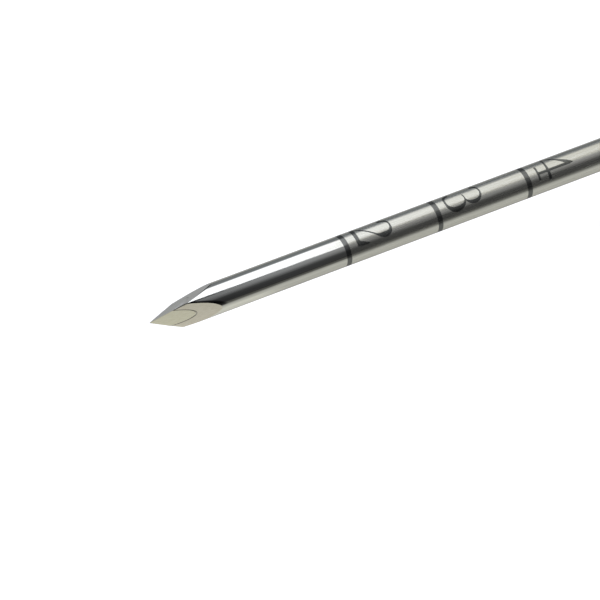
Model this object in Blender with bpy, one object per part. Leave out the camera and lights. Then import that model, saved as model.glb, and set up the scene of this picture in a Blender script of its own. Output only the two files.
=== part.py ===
"""A bone marrow needle that lies flat on its T-handle, with its stylet locked in its cannula.

+X runs along the needle from its point to the palm cap, the handle's wings run along Y, and +Z is up.
Every piece hangs from an empty on the needle's axis at its point, so that x is the distance from the
point (a station), and y and z are measured from the needle's axis. The world's origin is under the
middle of the whole length, on the surface that the handle lies on.
"""

import math

import bmesh
import bpy
from mathutils import Matrix, Vector

MM = 0.001

# Needle
BARE_LENGTH = 100.0 * MM
CANNULA_DIAMETER = 3.05 * MM
CANNULA_BORE = 1.96 * MM
STYLET_CLEARANCE = 0.05 * MM
FACETS = 3
FACET_ANGLE = math.radians(12.7)
FACET_CLOCK = math.radians(-86.0)

# Gaps
BOND_GAP = 0.03 * MM
SEAT_GAP = 0.25 * MM
SPLIT_GAP = 0.3 * MM

# Nose sleeve
SLEEVE_TIP_DIAMETER = 5.2 * MM
SLEEVE_DIAMETER = 8.0 * MM
SLEEVE_CONE = 6.0 * MM
SLEEVE_NECK = 4.0 * MM
SLEEVE_RIM = 1.0 * MM
SLEEVE_RIM_LENGTH = 2.0 * MM

# Handle
HANDLE_SPAN = 80.0 * MM
HANDLE_THICKNESS = 17.0 * MM
HANDLE_EDGE = 5.5 * MM
NOSE_LENGTH = 16.0 * MM
NOSE_FRONT_WIDTH = 15.0 * MM
NOSE_ROOT_WIDTH = 19.0 * MM
NOSE_CORNER = 1.2 * MM
ROOT_FILLET = 9.0 * MM
WING_ROOT_CHORD = 21.0 * MM
WING_END_CHORD = 17.0 * MM
WING_END_FLAT = 1.0 * MM
PALM_FLAT = 24.0 * MM
PALM_SWEEP = 3.0 * MM
PALM_ROUND = 30.0 * MM

# Grip sleeves
GRIP_START = 21.0 * MM
GRIP_WALL = 2.0 * MM
GRIP_GROOVES = 5
GRIP_GROOVE_DEPTH = 0.6 * MM
GRIP_GROOVE_SHARE = 0.46
GRIP_FRONT_LAND = 2.8 * MM
GRIP_END_LAND = 4.6 * MM

# Crossbar
CROSSBAR_LENGTH = 52.0 * MM
CROSSBAR_HEIGHT = 9.0 * MM
CROSSBAR_THICKNESS = 3.0 * MM

# Cannula hub
BARREL_DIAMETER = 6.6 * MM
BARREL_LENGTH = 9.0 * MM
HUB_FLANGE_DIAMETER = 11.0 * MM
HUB_FLANGE_LENGTH = 3.0 * MM
SOCKET_DIAMETER = 6.0 * MM
SOCKET_PROUD = 7.0 * MM
SOCKET_FLOOR = 1.2 * MM
LUER_MOUTH = 4.3 * MM
LUER_DEPTH = 7.5 * MM
LUER_TAPER = 0.06
LUG_REACH = 0.95 * MM
LUG_LENGTH = 1.4 * MM
LUG_FLATS = 6.4 * MM
NOTCH_WIDTH = 1.5 * MM
NOTCH_DEPTH = 1.6 * MM

# Stylet hub
LUER_GAP = 0.06 * MM
MALE_TIP_GAP = 1.0 * MM
HUB_RIM_DIAMETER = 8.8 * MM
HUB_RIM_LENGTH = 1.8 * MM
TAIL_DIAMETER = 6.0 * MM
TAIL_PAST_PIN = 5.0 * MM
TAIL_END_WALL = 1.0 * MM
KEY_CLEARANCE = 0.15 * MM
PIN_DIAMETER = 1.0 * MM
PIN_LENGTH = 13.0 * MM

# Lock collar
COLLAR_DIAMETER = 14.5 * MM
COLLAR_FRONT_GAP = 0.8 * MM
COLLAR_BACK_WALL = 1.8 * MM
COLLAR_CHAMFER = 0.8 * MM
COLLAR_FLUTES = 12
COLLAR_FLUTE_DEPTH = 0.7 * MM

# Palm cap
CAP_GAP = 1.0 * MM
CAP_WIDTH = 36.0 * MM
CAP_HEIGHT = 16.0 * MM
CAP_END_FLAT = 0.8 * MM
CAP_BASE = 3.2 * MM
CAP_BASE_CHAMFER = 1.4 * MM
CAP_DOME = 9.4 * MM
CAP_CROWN = 1.2 * MM

# Screws
SCREW_DIAMETER = 2.5 * MM
SCREW_HEAD_DIAMETER = 4.6 * MM
SCREW_HEAD_LENGTH = 2.0 * MM
SCREW_SINK = 0.4 * MM
SCREW_COVER = 3.5 * MM
HEX_ACROSS_FLATS = 1.5 * MM
HEX_DEPTH = 1.2 * MM
HANDLE_SCREW_SPREAD = 29.0 * MM
HANDLE_SCREW_SPACING = 10.4 * MM
CAP_SCREW_SPREAD = 22.0 * MM

# Fineness
POINT_SEGMENTS = 12 * FACETS
TURNED_SEGMENTS = 24
SCREW_SEGMENTS = 12
FLUTE_SEGMENTS = 5
EDGE_STEPS = 5
ARC_STEP = math.radians(15.0)
CUT_MARGIN = 2.0 * MM

# Stations along the needle's axis, from its point
HANDLE_FRONT = BARE_LENGTH + SLEEVE_CONE
SLEEVE_RIM_START = HANDLE_FRONT + SLEEVE_NECK
SLEEVE_END = SLEEVE_RIM_START + SLEEVE_RIM_LENGTH
WING_FRONT = HANDLE_FRONT + NOSE_LENGTH
PALM_FACE = WING_FRONT + WING_ROOT_CHORD
CROSSBAR_CENTRE = WING_FRONT + WING_ROOT_CHORD / 2
CROSSBAR_FRONT = CROSSBAR_CENTRE - CROSSBAR_THICKNESS / 2
CROSSBAR_BACK = CROSSBAR_CENTRE + CROSSBAR_THICKNESS / 2
BARREL_FRONT = CROSSBAR_FRONT - BARREL_LENGTH
HUB_FLANGE_START = CROSSBAR_BACK + BOND_GAP
HUB_FLANGE_END = HUB_FLANGE_START + HUB_FLANGE_LENGTH
SOCKET_MOUTH = PALM_FACE + SOCKET_PROUD
LUER_BOTTOM = SOCKET_MOUTH - LUER_DEPTH
CANNULA_SHOULDER = LUER_BOTTOM - SOCKET_FLOOR
CANNULA_END = CANNULA_SHOULDER - BOND_GAP
HUB_RIM_START = SOCKET_MOUTH + SEAT_GAP
HUB_RIM_END = HUB_RIM_START + HUB_RIM_LENGTH
COLLAR_FRONT = PALM_FACE + COLLAR_FRONT_GAP
COLLAR_STEP = HUB_RIM_END + SEAT_GAP
COLLAR_END = COLLAR_STEP + COLLAR_BACK_WALL
CAP_FRONT = COLLAR_END + CAP_GAP
CAP_SPLIT_FRONT = CAP_FRONT + CAP_BASE
CAP_SPLIT_BACK = CAP_SPLIT_FRONT + SPLIT_GAP
PIN_STATION = (CAP_SPLIT_FRONT + CAP_SPLIT_BACK) / 2
TAIL_END = PIN_STATION + TAIL_PAST_PIN
STYLET_END = TAIL_END - TAIL_END_WALL - BOND_GAP
OVERALL_LENGTH = CAP_SPLIT_BACK + CAP_DOME

CANNULA_RADIUS = CANNULA_DIAMETER / 2
BORE_RADIUS = CANNULA_BORE / 2
STYLET_RADIUS = BORE_RADIUS - STYLET_CLEARANCE
LUG_RADIUS = SOCKET_DIAMETER / 2 + LUG_REACH
HUB_RIM_RADIUS = HUB_RIM_DIAMETER / 2
FIRST_RIDGE = FACET_CLOCK + math.pi / FACETS


def clear_scene():
    for obj in list(bpy.data.objects):
        bpy.data.objects.remove(obj, do_unlink=True)


def make_material(name, colour, roughness, metallic):
    material = bpy.data.materials.new(name)
    material.use_nodes = True
    shader = material.node_tree.nodes["Principled BSDF"]
    shader.inputs["Base Color"].default_value = (*colour, 1.0)
    shader.inputs["Roughness"].default_value = roughness
    shader.inputs["Metallic"].default_value = metallic
    return material


def empty(name, parent=None, location=(0.0, 0.0, 0.0)):
    marker = bpy.data.objects.new(name, None)
    marker.parent = parent
    marker.location = location
    bpy.context.scene.collection.objects.link(marker)
    return marker


def finish_mesh(bm, name, parent, material=None):
    """Turns a bmesh into an object whose faces point out; one with no material is a cutter."""
    bmesh.ops.recalc_face_normals(bm, faces=bm.faces)
    mesh = bpy.data.meshes.new(name)
    bm.to_mesh(mesh)
    bm.free()
    mesh.shade_smooth()
    mesh.set_sharp_from_angle(angle=math.radians(30))
    obj = bpy.data.objects.new(name, mesh)
    obj.parent = parent
    bpy.context.scene.collection.objects.link(obj)
    if material:
        mesh.materials.append(material)
    else:
        obj.hide_render = True
        obj.display_type = "WIRE"
    return obj


def combine(obj, operation, other):
    modifier = obj.modifiers.new(f"{operation.lower()} {other.name}", "BOOLEAN")
    modifier.operation = operation
    modifier.solver = "EXACT"
    modifier.object = other


def cut(obj, *cutters):
    for cutter in cutters:
        combine(obj, "DIFFERENCE", cutter)


def join_rings(bm, first, second):
    for i, corner in enumerate(first):
        j = (i + 1) % len(first)
        bm.faces.new((corner, first[j], second[j], second[i]))


def turned(name, profile, parent, material=None, segments=TURNED_SEGMENTS):
    """A solid turned about the X axis.

    The profile's points are (x, radius). It is a loop where the solid has a bore right through, and
    otherwise it starts and ends on the axis.
    """
    bm = bmesh.new()
    across = Vector((0.0, math.sin(FIRST_RIDGE), math.cos(FIRST_RIDGE)))
    points = [bm.verts.new(Vector((x, 0.0, 0.0)) + across * radius) for x, radius in profile]
    edges = [bm.edges.new(pair) for pair in zip(points, points[1:])]
    if profile[0][1] > 0:
        edges.append(bm.edges.new((points[-1], points[0])))
    bmesh.ops.spin(
        bm,
        geom=points + edges,
        cent=(0.0, 0.0, 0.0),
        axis=(1.0, 0.0, 0.0),
        angle=2 * math.pi,
        steps=segments,
        use_merge=True,
    )
    bmesh.ops.remove_doubles(bm, verts=bm.verts, dist=MM / 1000)
    return finish_mesh(bm, name, parent, material)


def box(name, centre, size, parent, material=None):
    bm = bmesh.new()
    place = Matrix.Translation(centre) @ Matrix.Diagonal((*size, 1.0))
    bmesh.ops.create_cube(bm, size=1.0, matrix=place)
    return finish_mesh(bm, name, parent, material)


def cylinder(name, start, end, radius, parent, material=None, segments=SCREW_SEGMENTS):
    """A plain cylinder between two points."""
    start = Vector(start)
    along = Vector(end) - start
    turn = along.to_track_quat("Z", "Y").to_matrix().to_4x4()
    bm = bmesh.new()
    bmesh.ops.create_cone(
        bm,
        cap_ends=True,
        segments=segments,
        radius1=radius,
        radius2=radius,
        depth=along.length,
        matrix=Matrix.Translation(start + along / 2) @ turn,
    )
    return finish_mesh(bm, name, parent, material)


def rounded_outline(corners, inset):
    """Points around an outline whose corners are arcs, moved inwards by an inset.

    The corners are (x, y, radius), anticlockwise. An inset keeps each arc's centre, so it shrinks the
    radius of a corner that points out and grows that of one that points in.
    """
    places = [Vector(corner[:2]) for corner in corners]
    points = []
    for i, (corner, (_, _, radius)) in enumerate(zip(places, corners)):
        into = (corner - places[i - 1]).normalized()
        away = (places[(i + 1) % len(places)] - corner).normalized()
        turn = math.atan2(into.cross(away), into.dot(away))
        side = math.copysign(1.0, turn)
        inwards = Vector((-into.y, into.x)) * side
        centre = corner - into * radius * math.tan(abs(turn) / 2) + inwards * radius
        steps = max(2, math.ceil(abs(turn) / ARC_STEP))
        for step in range(steps + 1):
            spoke = Matrix.Rotation(turn * step / steps, 2) @ -inwards
            points.append(centre + spoke * (radius - side * inset))
    return points


def pillow(name, corners, layers, to_local, parent, material=None):
    """A solid stacked from insets of one outline.

    Each layer is (inset, height), and to_local turns an outline's point and a height into a place.
    """
    bm = bmesh.new()
    rings = []
    for inset, height in layers:
        outline = rounded_outline(corners, inset)
        rings.append([bm.verts.new(to_local(point, height)) for point in outline])
    for first, second in zip(rings, rings[1:]):
        join_rings(bm, first, second)
    bm.faces.new(rings[0])
    bm.faces.new(rings[-1])
    return finish_mesh(bm, name, parent, material)


def edge_layers(edge, rise, top):
    """A quarter ellipse from the side wall in to the face: edge wide, rise high, ending at top."""
    layers = []
    for step in range(EDGE_STEPS + 1):
        angle = math.pi / 2 * step / EDGE_STEPS
        layers.append((edge * (1 - math.cos(angle)), top - rise * (1 - math.sin(angle))))
    return layers


def handle_corners():
    """The T-handle's outline seen from above, as (x, y, radius)."""
    half_span = HANDLE_SPAN / 2
    wing_end_back = PALM_FACE - PALM_SWEEP
    wing_end_radius = (WING_END_CHORD - WING_END_FLAT) / 2
    half = [
        (HANDLE_FRONT, NOSE_FRONT_WIDTH / 2, HANDLE_EDGE + NOSE_CORNER),
        (WING_FRONT, NOSE_ROOT_WIDTH / 2, ROOT_FILLET),
        (wing_end_back - WING_END_CHORD, half_span, wing_end_radius),
        (wing_end_back, half_span, wing_end_radius),
        (PALM_FACE, PALM_FLAT / 2, PALM_ROUND),
    ]
    return [(x, -y, radius) for x, y, radius in half] + half[::-1]


def handle_half(name, side, parent, material):
    """The upper (side 1) or lower (side -1) half of the handle, still solid."""
    face = HANDLE_THICKNESS / 2
    layers = [(0.0, SPLIT_GAP / 2)] + edge_layers(HANDLE_EDGE, HANDLE_EDGE, face)

    def to_local(point, height):
        return Vector((point.x, point.y, side * height))

    return pillow(name, handle_corners(), layers, to_local, parent, material)


def handle_form(name, inset, parent, material=None):
    """The handle's whole outer form, or the parallel form that lies an inset under its surface."""
    edge = HANDLE_EDGE - inset
    upper = edge_layers(edge, edge, HANDLE_THICKNESS / 2 - inset)
    layers = [(extra, -height) for extra, height in upper[::-1]] + upper
    layers = [(inset + extra, height) for extra, height in layers]

    def to_local(point, height):
        return Vector((point.x, point.y, height))

    return pillow(name, handle_corners(), layers, to_local, parent, material)


def cap_corners():
    """The palm cap's outline seen along the needle, as (y, z, radius)."""
    half_width = CAP_WIDTH / 2
    half_height = CAP_HEIGHT / 2
    radius = (CAP_HEIGHT - CAP_END_FLAT) / 2
    return [
        (-half_width, -half_height, radius),
        (half_width, -half_height, radius),
        (half_width, half_height, radius),
        (-half_width, half_height, radius),
    ]


def across_needle(point, height):
    return Vector((height, point.x, point.y))


def facet_slope(angle):
    """How far back the point's surface lies at this angle round the axis, for each unit of radius."""
    clocks = (FACET_CLOCK + 2 * math.pi * k / FACETS for k in range(FACETS))
    return max(math.cos(angle - clock) for clock in clocks) / math.tan(FACET_ANGLE)


def needle_ring(bm, place):
    """A ring of vertices about the axis. place gives (x, radius) for an angle measured from +Z."""
    ring = []
    for step in range(POINT_SEGMENTS):
        angle = FIRST_RIDGE + 2 * math.pi * step / POINT_SEGMENTS
        x, radius = place(angle)
        ring.append(bm.verts.new((x, radius * math.sin(angle), radius * math.cos(angle))))
    return ring


def ground_rim(bm, radius):
    """The ring of vertices where the facets cut this radius."""
    return needle_ring(bm, lambda angle: (facet_slope(angle) * radius, radius))


def build_cannula(parent, steel):
    """The tube, with its end ground to the facets."""
    bm = bmesh.new()
    rings = [
        ground_rim(bm, CANNULA_RADIUS),
        needle_ring(bm, lambda angle: (CANNULA_END, CANNULA_RADIUS)),
        needle_ring(bm, lambda angle: (CANNULA_END, BORE_RADIUS)),
        ground_rim(bm, BORE_RADIUS),
    ]
    for i, ring in enumerate(rings):
        join_rings(bm, ring, rings[(i + 1) % len(rings)])
    return finish_mesh(bm, "cannula", parent, steel)


def build_stylet(parent, steel):
    """The solid rod, whose facets lie in the planes of the cannula's."""
    bm = bmesh.new()
    rim = ground_rim(bm, STYLET_RADIUS)
    end = needle_ring(bm, lambda angle: (STYLET_END, STYLET_RADIUS))
    apex = bm.verts.new((0.0, 0.0, 0.0))
    for i, corner in enumerate(rim):
        bm.faces.new((corner, rim[(i + 1) % len(rim)], apex))
    join_rings(bm, rim, end)
    bm.faces.new(end)
    return finish_mesh(bm, "stylet", parent, steel)


def build_nose_sleeve(parent, steel):
    bore = CANNULA_RADIUS + BOND_GAP
    rim = SLEEVE_DIAMETER / 2 + SLEEVE_RIM
    profile = [
        (BARE_LENGTH, bore),
        (BARE_LENGTH, SLEEVE_TIP_DIAMETER / 2),
        (HANDLE_FRONT, SLEEVE_DIAMETER / 2),
        (SLEEVE_RIM_START, SLEEVE_DIAMETER / 2),
        (SLEEVE_RIM_START, rim),
        (SLEEVE_END, rim),
        (SLEEVE_END, bore),
    ]
    return turned("nose_sleeve", profile, parent, steel)


def luer_radius(station, gap=0.0):
    """The socket's radius, which narrows inwards from its mouth; a gap gives the male taper's."""
    return (LUER_MOUTH - LUER_TAPER * (SOCKET_MOUTH - station)) / 2 - gap


def build_cannula_hub(parent, steel):
    """The hub: a barrel through the crossbar, a flange behind it and the luer socket with its lugs."""
    bore = CANNULA_RADIUS + BOND_GAP
    lug_start = SOCKET_MOUTH - LUG_LENGTH
    profile = [
        (BARREL_FRONT, bore),
        (BARREL_FRONT, BARREL_DIAMETER / 2),
        (HUB_FLANGE_START, BARREL_DIAMETER / 2),
        (HUB_FLANGE_START, HUB_FLANGE_DIAMETER / 2),
        (HUB_FLANGE_END, HUB_FLANGE_DIAMETER / 2),
        (HUB_FLANGE_END, SOCKET_DIAMETER / 2),
        (lug_start, SOCKET_DIAMETER / 2),
        (lug_start, LUG_RADIUS),
        (SOCKET_MOUTH, LUG_RADIUS),
        (SOCKET_MOUTH, luer_radius(SOCKET_MOUTH)),
        (LUER_BOTTOM, luer_radius(LUER_BOTTOM)),
        (LUER_BOTTOM, BORE_RADIUS),
        (CANNULA_SHOULDER, BORE_RADIUS),
        (CANNULA_SHOULDER, bore),
    ]
    hub = turned("cannula_hub", profile, parent, steel)
    reach = LUG_RADIUS + CUT_MARGIN
    flat_size = (2 * (LUG_LENGTH + SEAT_GAP), 2 * reach, reach)
    for side, name in ((-1, "lower"), (1, "upper")):
        centre = (SOCKET_MOUTH, 0.0, side * (LUG_FLATS + reach) / 2)
        cut(hub, box(f"{name}_lug_flat", centre, flat_size, parent))
    notch_centre = (SOCKET_MOUTH, 0.0, reach / 2)
    cut(hub, box("index_notch", notch_centre, (2 * NOTCH_DEPTH, NOTCH_WIDTH, reach), parent))
    return hub


def build_crossbar(parent, steel):
    size = (CROSSBAR_THICKNESS, CROSSBAR_LENGTH, CROSSBAR_HEIGHT)
    bar = box("crossbar", (CROSSBAR_CENTRE, 0.0, 0.0), size, parent, steel)
    hole_start = (CROSSBAR_FRONT - CUT_MARGIN, 0.0, 0.0)
    hole_end = (CROSSBAR_BACK + CUT_MARGIN, 0.0, 0.0)
    radius = BARREL_DIAMETER / 2 + BOND_GAP
    cut(bar, cylinder("crossbar_hole", hole_start, hole_end, radius, parent, segments=TURNED_SEGMENTS))
    return bar


def hub_pocket(parent):
    """The space in the handle for the nose sleeve and the cannula hub."""
    neck = SLEEVE_DIAMETER / 2 + SEAT_GAP
    rim = neck + SLEEVE_RIM
    barrel = BARREL_DIAMETER / 2 + SEAT_GAP
    flange = HUB_FLANGE_DIAMETER / 2 + SEAT_GAP
    socket = SOCKET_DIAMETER / 2 + SEAT_GAP
    profile = [
        (HANDLE_FRONT - CUT_MARGIN, 0.0),
        (HANDLE_FRONT - CUT_MARGIN, neck),
        (SLEEVE_RIM_START - SEAT_GAP, neck),
        (SLEEVE_RIM_START - SEAT_GAP, rim),
        (SLEEVE_END + SEAT_GAP, rim),
        (SLEEVE_END + SEAT_GAP, barrel),
        (CROSSBAR_CENTRE, barrel),
        (CROSSBAR_CENTRE, flange),
        (HUB_FLANGE_END + SEAT_GAP, flange),
        (HUB_FLANGE_END + SEAT_GAP, socket),
        (PALM_FACE + CUT_MARGIN, socket),
        (PALM_FACE + CUT_MARGIN, 0.0),
    ]
    return turned("hub_pocket", profile, parent)


def crossbar_pocket(parent):
    size = (CROSSBAR_THICKNESS, CROSSBAR_LENGTH, CROSSBAR_HEIGHT)
    roomy = [side + 2 * SEAT_GAP for side in size]
    return box("crossbar_pocket", (CROSSBAR_CENTRE, 0.0, 0.0), roomy, parent)


def beyond_grip_start(name, start, parent):
    """Two slabs that hold all of the handle past a distance either side of the needle, as cutters."""
    length = HANDLE_SPAN / 2 - start + CUT_MARGIN
    depth = 2 * (PALM_FACE - HANDLE_FRONT)
    slabs = []
    for side, end in ((-1, "left"), (1, "right")):
        centre = (CROSSBAR_CENTRE, side * (start + length / 2), 0.0)
        size = (depth, length, 2 * HANDLE_THICKNESS)
        slabs.append(box(f"{name}_{end}", centre, size, parent))
    return slabs


def screw_places():
    """The handle screws' places: (x, y) of each axis."""
    for side in (-1, 1):
        for end in (-1, 1):
            yield (
                CROSSBAR_CENTRE + end * HANDLE_SCREW_SPACING / 2,
                side * HANDLE_SCREW_SPREAD / 2,
            )


def screw_profile(shank_length, gap=0.0):
    """A cap screw from its head's outer face at 0; with a gap, the stepped hole it needs."""
    head = SCREW_HEAD_DIAMETER / 2 + gap
    shank = SCREW_DIAMETER / 2 + gap
    start = -CUT_MARGIN if gap else 0.0
    return [
        (start, 0.0),
        (start, head),
        (SCREW_HEAD_LENGTH + gap, head),
        (SCREW_HEAD_LENGTH + gap, shank),
        (SCREW_HEAD_LENGTH + shank_length + gap, shank),
        (SCREW_HEAD_LENGTH + shank_length + gap, 0.0),
    ]


def build_screw(name, place, upright, shank_length, parent, steel):
    """A socket-head screw and the hole it needs, along +Z if upright and otherwise along +X."""
    screw = turned(name, screw_profile(shank_length), parent, steel, SCREW_SEGMENTS)
    hole = turned(f"{name}_hole", screw_profile(shank_length, SEAT_GAP), parent, None, SCREW_SEGMENTS)
    socket = cylinder(
        f"{name}_socket",
        (-HEX_DEPTH, 0.0, 0.0),
        (HEX_DEPTH, 0.0, 0.0),
        HEX_ACROSS_FLATS / math.sqrt(3),
        screw,
        segments=6,
    )
    cut(screw, socket)
    for obj in (screw, hole):
        obj.location = place
        obj.rotation_euler.y = -math.pi / 2 if upright else 0.0
    return hole


def build_handle(parent, plastic, steel):
    """The two shells, with pockets for what they clamp and necked wings for the grip sleeves."""
    upper = handle_half("handle_upper_shell", 1, parent, plastic)
    lower = handle_half("handle_lower_shell", -1, parent, plastic)
    neck = handle_form("wing_neck", GRIP_WALL + SEAT_GAP, parent)
    recesses = beyond_grip_start("grip_recess", GRIP_START, parent)
    for recess in recesses:
        cut(recess, neck)
    cutters = [*recesses, hub_pocket(parent), crossbar_pocket(parent)]
    face = -HANDLE_THICKNESS / 2 + SCREW_SINK
    shank_length = HANDLE_THICKNESS - SCREW_SINK - SCREW_HEAD_LENGTH - SCREW_COVER
    for number, (x, y) in enumerate(screw_places(), 1):
        name = f"handle_screw_{number}"
        cutters.append(build_screw(name, (x, y, face), True, shank_length, parent, steel))
    cut(upper, *cutters)
    cut(lower, *cutters)


def build_grip_sleeves(parent, rubber):
    """The soft sleeves over the wings, flush with the shells, with a row of grooves around each."""
    core = handle_form("grip_core", GRIP_WALL, parent)
    groove_floor = handle_form("groove_floor", GRIP_GROOVE_DEPTH, parent)
    ends = beyond_grip_start("grip_end", GRIP_START + SEAT_GAP, parent)
    grooved = HANDLE_SPAN / 2 - GRIP_START - GRIP_FRONT_LAND - GRIP_END_LAND
    pitch = grooved / (GRIP_GROOVES - 1 + GRIP_GROOVE_SHARE)
    width = pitch * GRIP_GROOVE_SHARE
    for side, slab in zip((-1, 1), ends):
        sleeve = handle_form(f"grip_sleeve_{'left' if side < 0 else 'right'}", 0.0, parent, rubber)
        combine(sleeve, "INTERSECT", slab)
        for number in range(GRIP_GROOVES):
            distance = GRIP_START + GRIP_FRONT_LAND + width / 2 + number * pitch
            centre = (CROSSBAR_CENTRE, side * distance, 0.0)
            size = (2 * WING_ROOT_CHORD, width, 2 * HANDLE_THICKNESS)
            groove = box(f"{sleeve.name}_groove_{number + 1}", centre, size, parent)
            cut(groove, groove_floor)
            cut(sleeve, groove)
        cut(sleeve, core)


def build_stylet_hub(parent, plastic, pin_hole):
    """The male taper, its flange and key, and the tail that the palm cap clamps."""
    tip = LUER_BOTTOM + MALE_TIP_GAP
    bore = STYLET_RADIUS + BOND_GAP
    profile = [
        (TAIL_END - TAIL_END_WALL, 0.0),
        (TAIL_END - TAIL_END_WALL, bore),
        (tip, bore),
        (tip, luer_radius(tip, LUER_GAP)),
        (HUB_RIM_START, luer_radius(HUB_RIM_START, LUER_GAP)),
        (HUB_RIM_START, HUB_RIM_RADIUS),
        (HUB_RIM_END, HUB_RIM_RADIUS),
        (HUB_RIM_END, TAIL_DIAMETER / 2),
        (TAIL_END, TAIL_DIAMETER / 2),
        (TAIL_END, 0.0),
    ]
    hub = turned("stylet_hub", profile, parent, plastic)
    key_front = SOCKET_MOUTH - NOTCH_DEPTH + KEY_CLEARANCE
    key_back = (HUB_RIM_START + HUB_RIM_END) / 2
    key_bottom = luer_radius(SOCKET_MOUTH) + KEY_CLEARANCE
    key_top = SOCKET_DIAMETER / 2
    key = box(
        "index_key",
        ((key_front + key_back) / 2, 0.0, (key_bottom + key_top) / 2),
        (key_back - key_front, NOTCH_WIDTH - 2 * KEY_CLEARANCE, key_top - key_bottom),
        parent,
    )
    combine(hub, "UNION", key)
    cut(hub, pin_hole)
    return hub


def collar_ring(bm, x, shrink):
    """A ring of the lock collar's fluted outside, drawn in by a chamfer."""
    segments = COLLAR_FLUTES * FLUTE_SEGMENTS
    ring = []
    for step in range(segments):
        angle = 2 * math.pi * step / segments
        flute = COLLAR_FLUTE_DEPTH * (1 - math.cos(COLLAR_FLUTES * angle)) / 2
        radius = COLLAR_DIAMETER / 2 - flute - shrink
        ring.append(bm.verts.new((x, radius * math.sin(angle), radius * math.cos(angle))))
    return ring


def build_lock_collar(parent, plastic):
    """The nut that turns behind the stylet hub's flange and grips the cannula hub's lugs."""
    bm = bmesh.new()
    rings = [
        collar_ring(bm, COLLAR_FRONT, COLLAR_CHAMFER),
        collar_ring(bm, COLLAR_FRONT + COLLAR_CHAMFER, 0.0),
        collar_ring(bm, COLLAR_END - COLLAR_CHAMFER, 0.0),
        collar_ring(bm, COLLAR_END, COLLAR_CHAMFER),
    ]
    for first, second in zip(rings, rings[1:]):
        join_rings(bm, first, second)
    bm.faces.new(rings[0])
    bm.faces.new(rings[-1])
    collar = finish_mesh(bm, "lock_collar", parent, plastic)
    chamber = max(HUB_RIM_RADIUS, LUG_RADIUS) + SEAT_GAP
    neck = TAIL_DIAMETER / 2 + SEAT_GAP
    bore = [
        (COLLAR_FRONT - CUT_MARGIN, 0.0),
        (COLLAR_FRONT - CUT_MARGIN, chamber),
        (COLLAR_STEP, chamber),
        (COLLAR_STEP, neck),
        (COLLAR_END + CUT_MARGIN, neck),
        (COLLAR_END + CUT_MARGIN, 0.0),
    ]
    cut(collar, turned("collar_bore", bore, parent))
    return collar


def build_palm_cap(parent, plastic, steel, pin_hole):
    """The base and the domed cover, which clamp the stylet hub's tail and its cross pin."""
    base_layers = [
        (CAP_BASE_CHAMFER, CAP_FRONT),
        (0.0, CAP_FRONT + CAP_BASE_CHAMFER),
        (0.0, CAP_SPLIT_FRONT),
    ]
    dome_inset = (CAP_HEIGHT - CAP_END_FLAT) / 2 - CAP_CROWN
    dome_rise = CAP_DOME - CAP_BASE_CHAMFER
    cover_layers = [(0.0, CAP_SPLIT_BACK)] + edge_layers(dome_inset, dome_rise, OVERALL_LENGTH)
    base = pillow("palm_cap_base", cap_corners(), base_layers, across_needle, parent, plastic)
    cover = pillow("palm_cap_cover", cap_corners(), cover_layers, across_needle, parent, plastic)
    tail_hole = cylinder(
        "tail_hole",
        (CAP_FRONT - CUT_MARGIN, 0.0, 0.0),
        (TAIL_END + SEAT_GAP, 0.0, 0.0),
        TAIL_DIAMETER / 2 + SEAT_GAP,
        parent,
        segments=TURNED_SEGMENTS,
    )
    cutters = [tail_hole, pin_hole]
    shank_length = OVERALL_LENGTH - CAP_FRONT - SCREW_SINK - SCREW_HEAD_LENGTH - SCREW_COVER
    for side, name in ((-1, "cap_screw_left"), (1, "cap_screw_right")):
        place = (CAP_FRONT + SCREW_SINK, side * CAP_SCREW_SPREAD / 2, 0.0)
        cutters.append(build_screw(name, place, False, shank_length, parent, steel))
    cut(base, *cutters)
    cut(cover, *cutters)


def build_pin(parent, steel):
    """The cross pin, and the hole for it through the stylet, its hub and the palm cap."""
    ends = [(PIN_STATION, side * PIN_LENGTH / 2, 0.0) for side in (-1, 1)]
    cylinder("stylet_pin", *ends, PIN_DIAMETER / 2, parent, steel)
    ends = [(PIN_STATION, side * (PIN_LENGTH / 2 + SEAT_GAP), 0.0) for side in (-1, 1)]
    return cylinder("pin_hole", *ends, PIN_DIAMETER / 2 + BOND_GAP, parent)


def main():
    clear_scene()
    polished_steel = make_material("polished_steel", (0.62, 0.61, 0.59), 0.12, 1.0)
    turned_steel = make_material("turned_steel", (0.56, 0.56, 0.55), 0.28, 1.0)
    screw_steel = make_material("screw_steel", (0.42, 0.42, 0.43), 0.32, 1.0)
    shell_plastic = make_material("shell_plastic", (0.60, 0.62, 0.62), 0.42, 0.0)
    collar_plastic = make_material("collar_plastic", (0.16, 0.24, 0.32), 0.45, 0.0)
    grip_rubber = make_material("grip_rubber", (0.09, 0.13, 0.18), 0.75, 0.0)

    point = (-OVERALL_LENGTH / 2, 0.0, HANDLE_THICKNESS / 2)
    handle_axis = empty("handle_axis", location=point)
    stylet_axis = empty("stylet_axis", handle_axis)
    collar_axis = empty("collar_axis", stylet_axis)

    build_cannula(handle_axis, polished_steel)
    build_nose_sleeve(handle_axis, turned_steel)
    build_cannula_hub(handle_axis, turned_steel)
    build_crossbar(handle_axis, turned_steel)
    build_handle(handle_axis, shell_plastic, screw_steel)
    build_grip_sleeves(handle_axis, grip_rubber)

    pin_hole = build_pin(stylet_axis, turned_steel)
    cut(build_stylet(stylet_axis, polished_steel), pin_hole)
    build_stylet_hub(stylet_axis, shell_plastic, pin_hole)
    build_palm_cap(stylet_axis, shell_plastic, screw_steel, pin_hole)
    build_lock_collar(collar_axis, collar_plastic)


main()
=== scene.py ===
"""The looks of a bone marrow needle that lies on its T-handle, with its stylet locked in its cannula.

Lengths are in millimetres from the needle's point. A station is the distance along the axis towards
the palm cap, y runs along the handle's wings, and z goes up from the axis. Angles round the axis are
measured from +Z towards +Y. `to_row` turns a place into the row's metres.
"""

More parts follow.
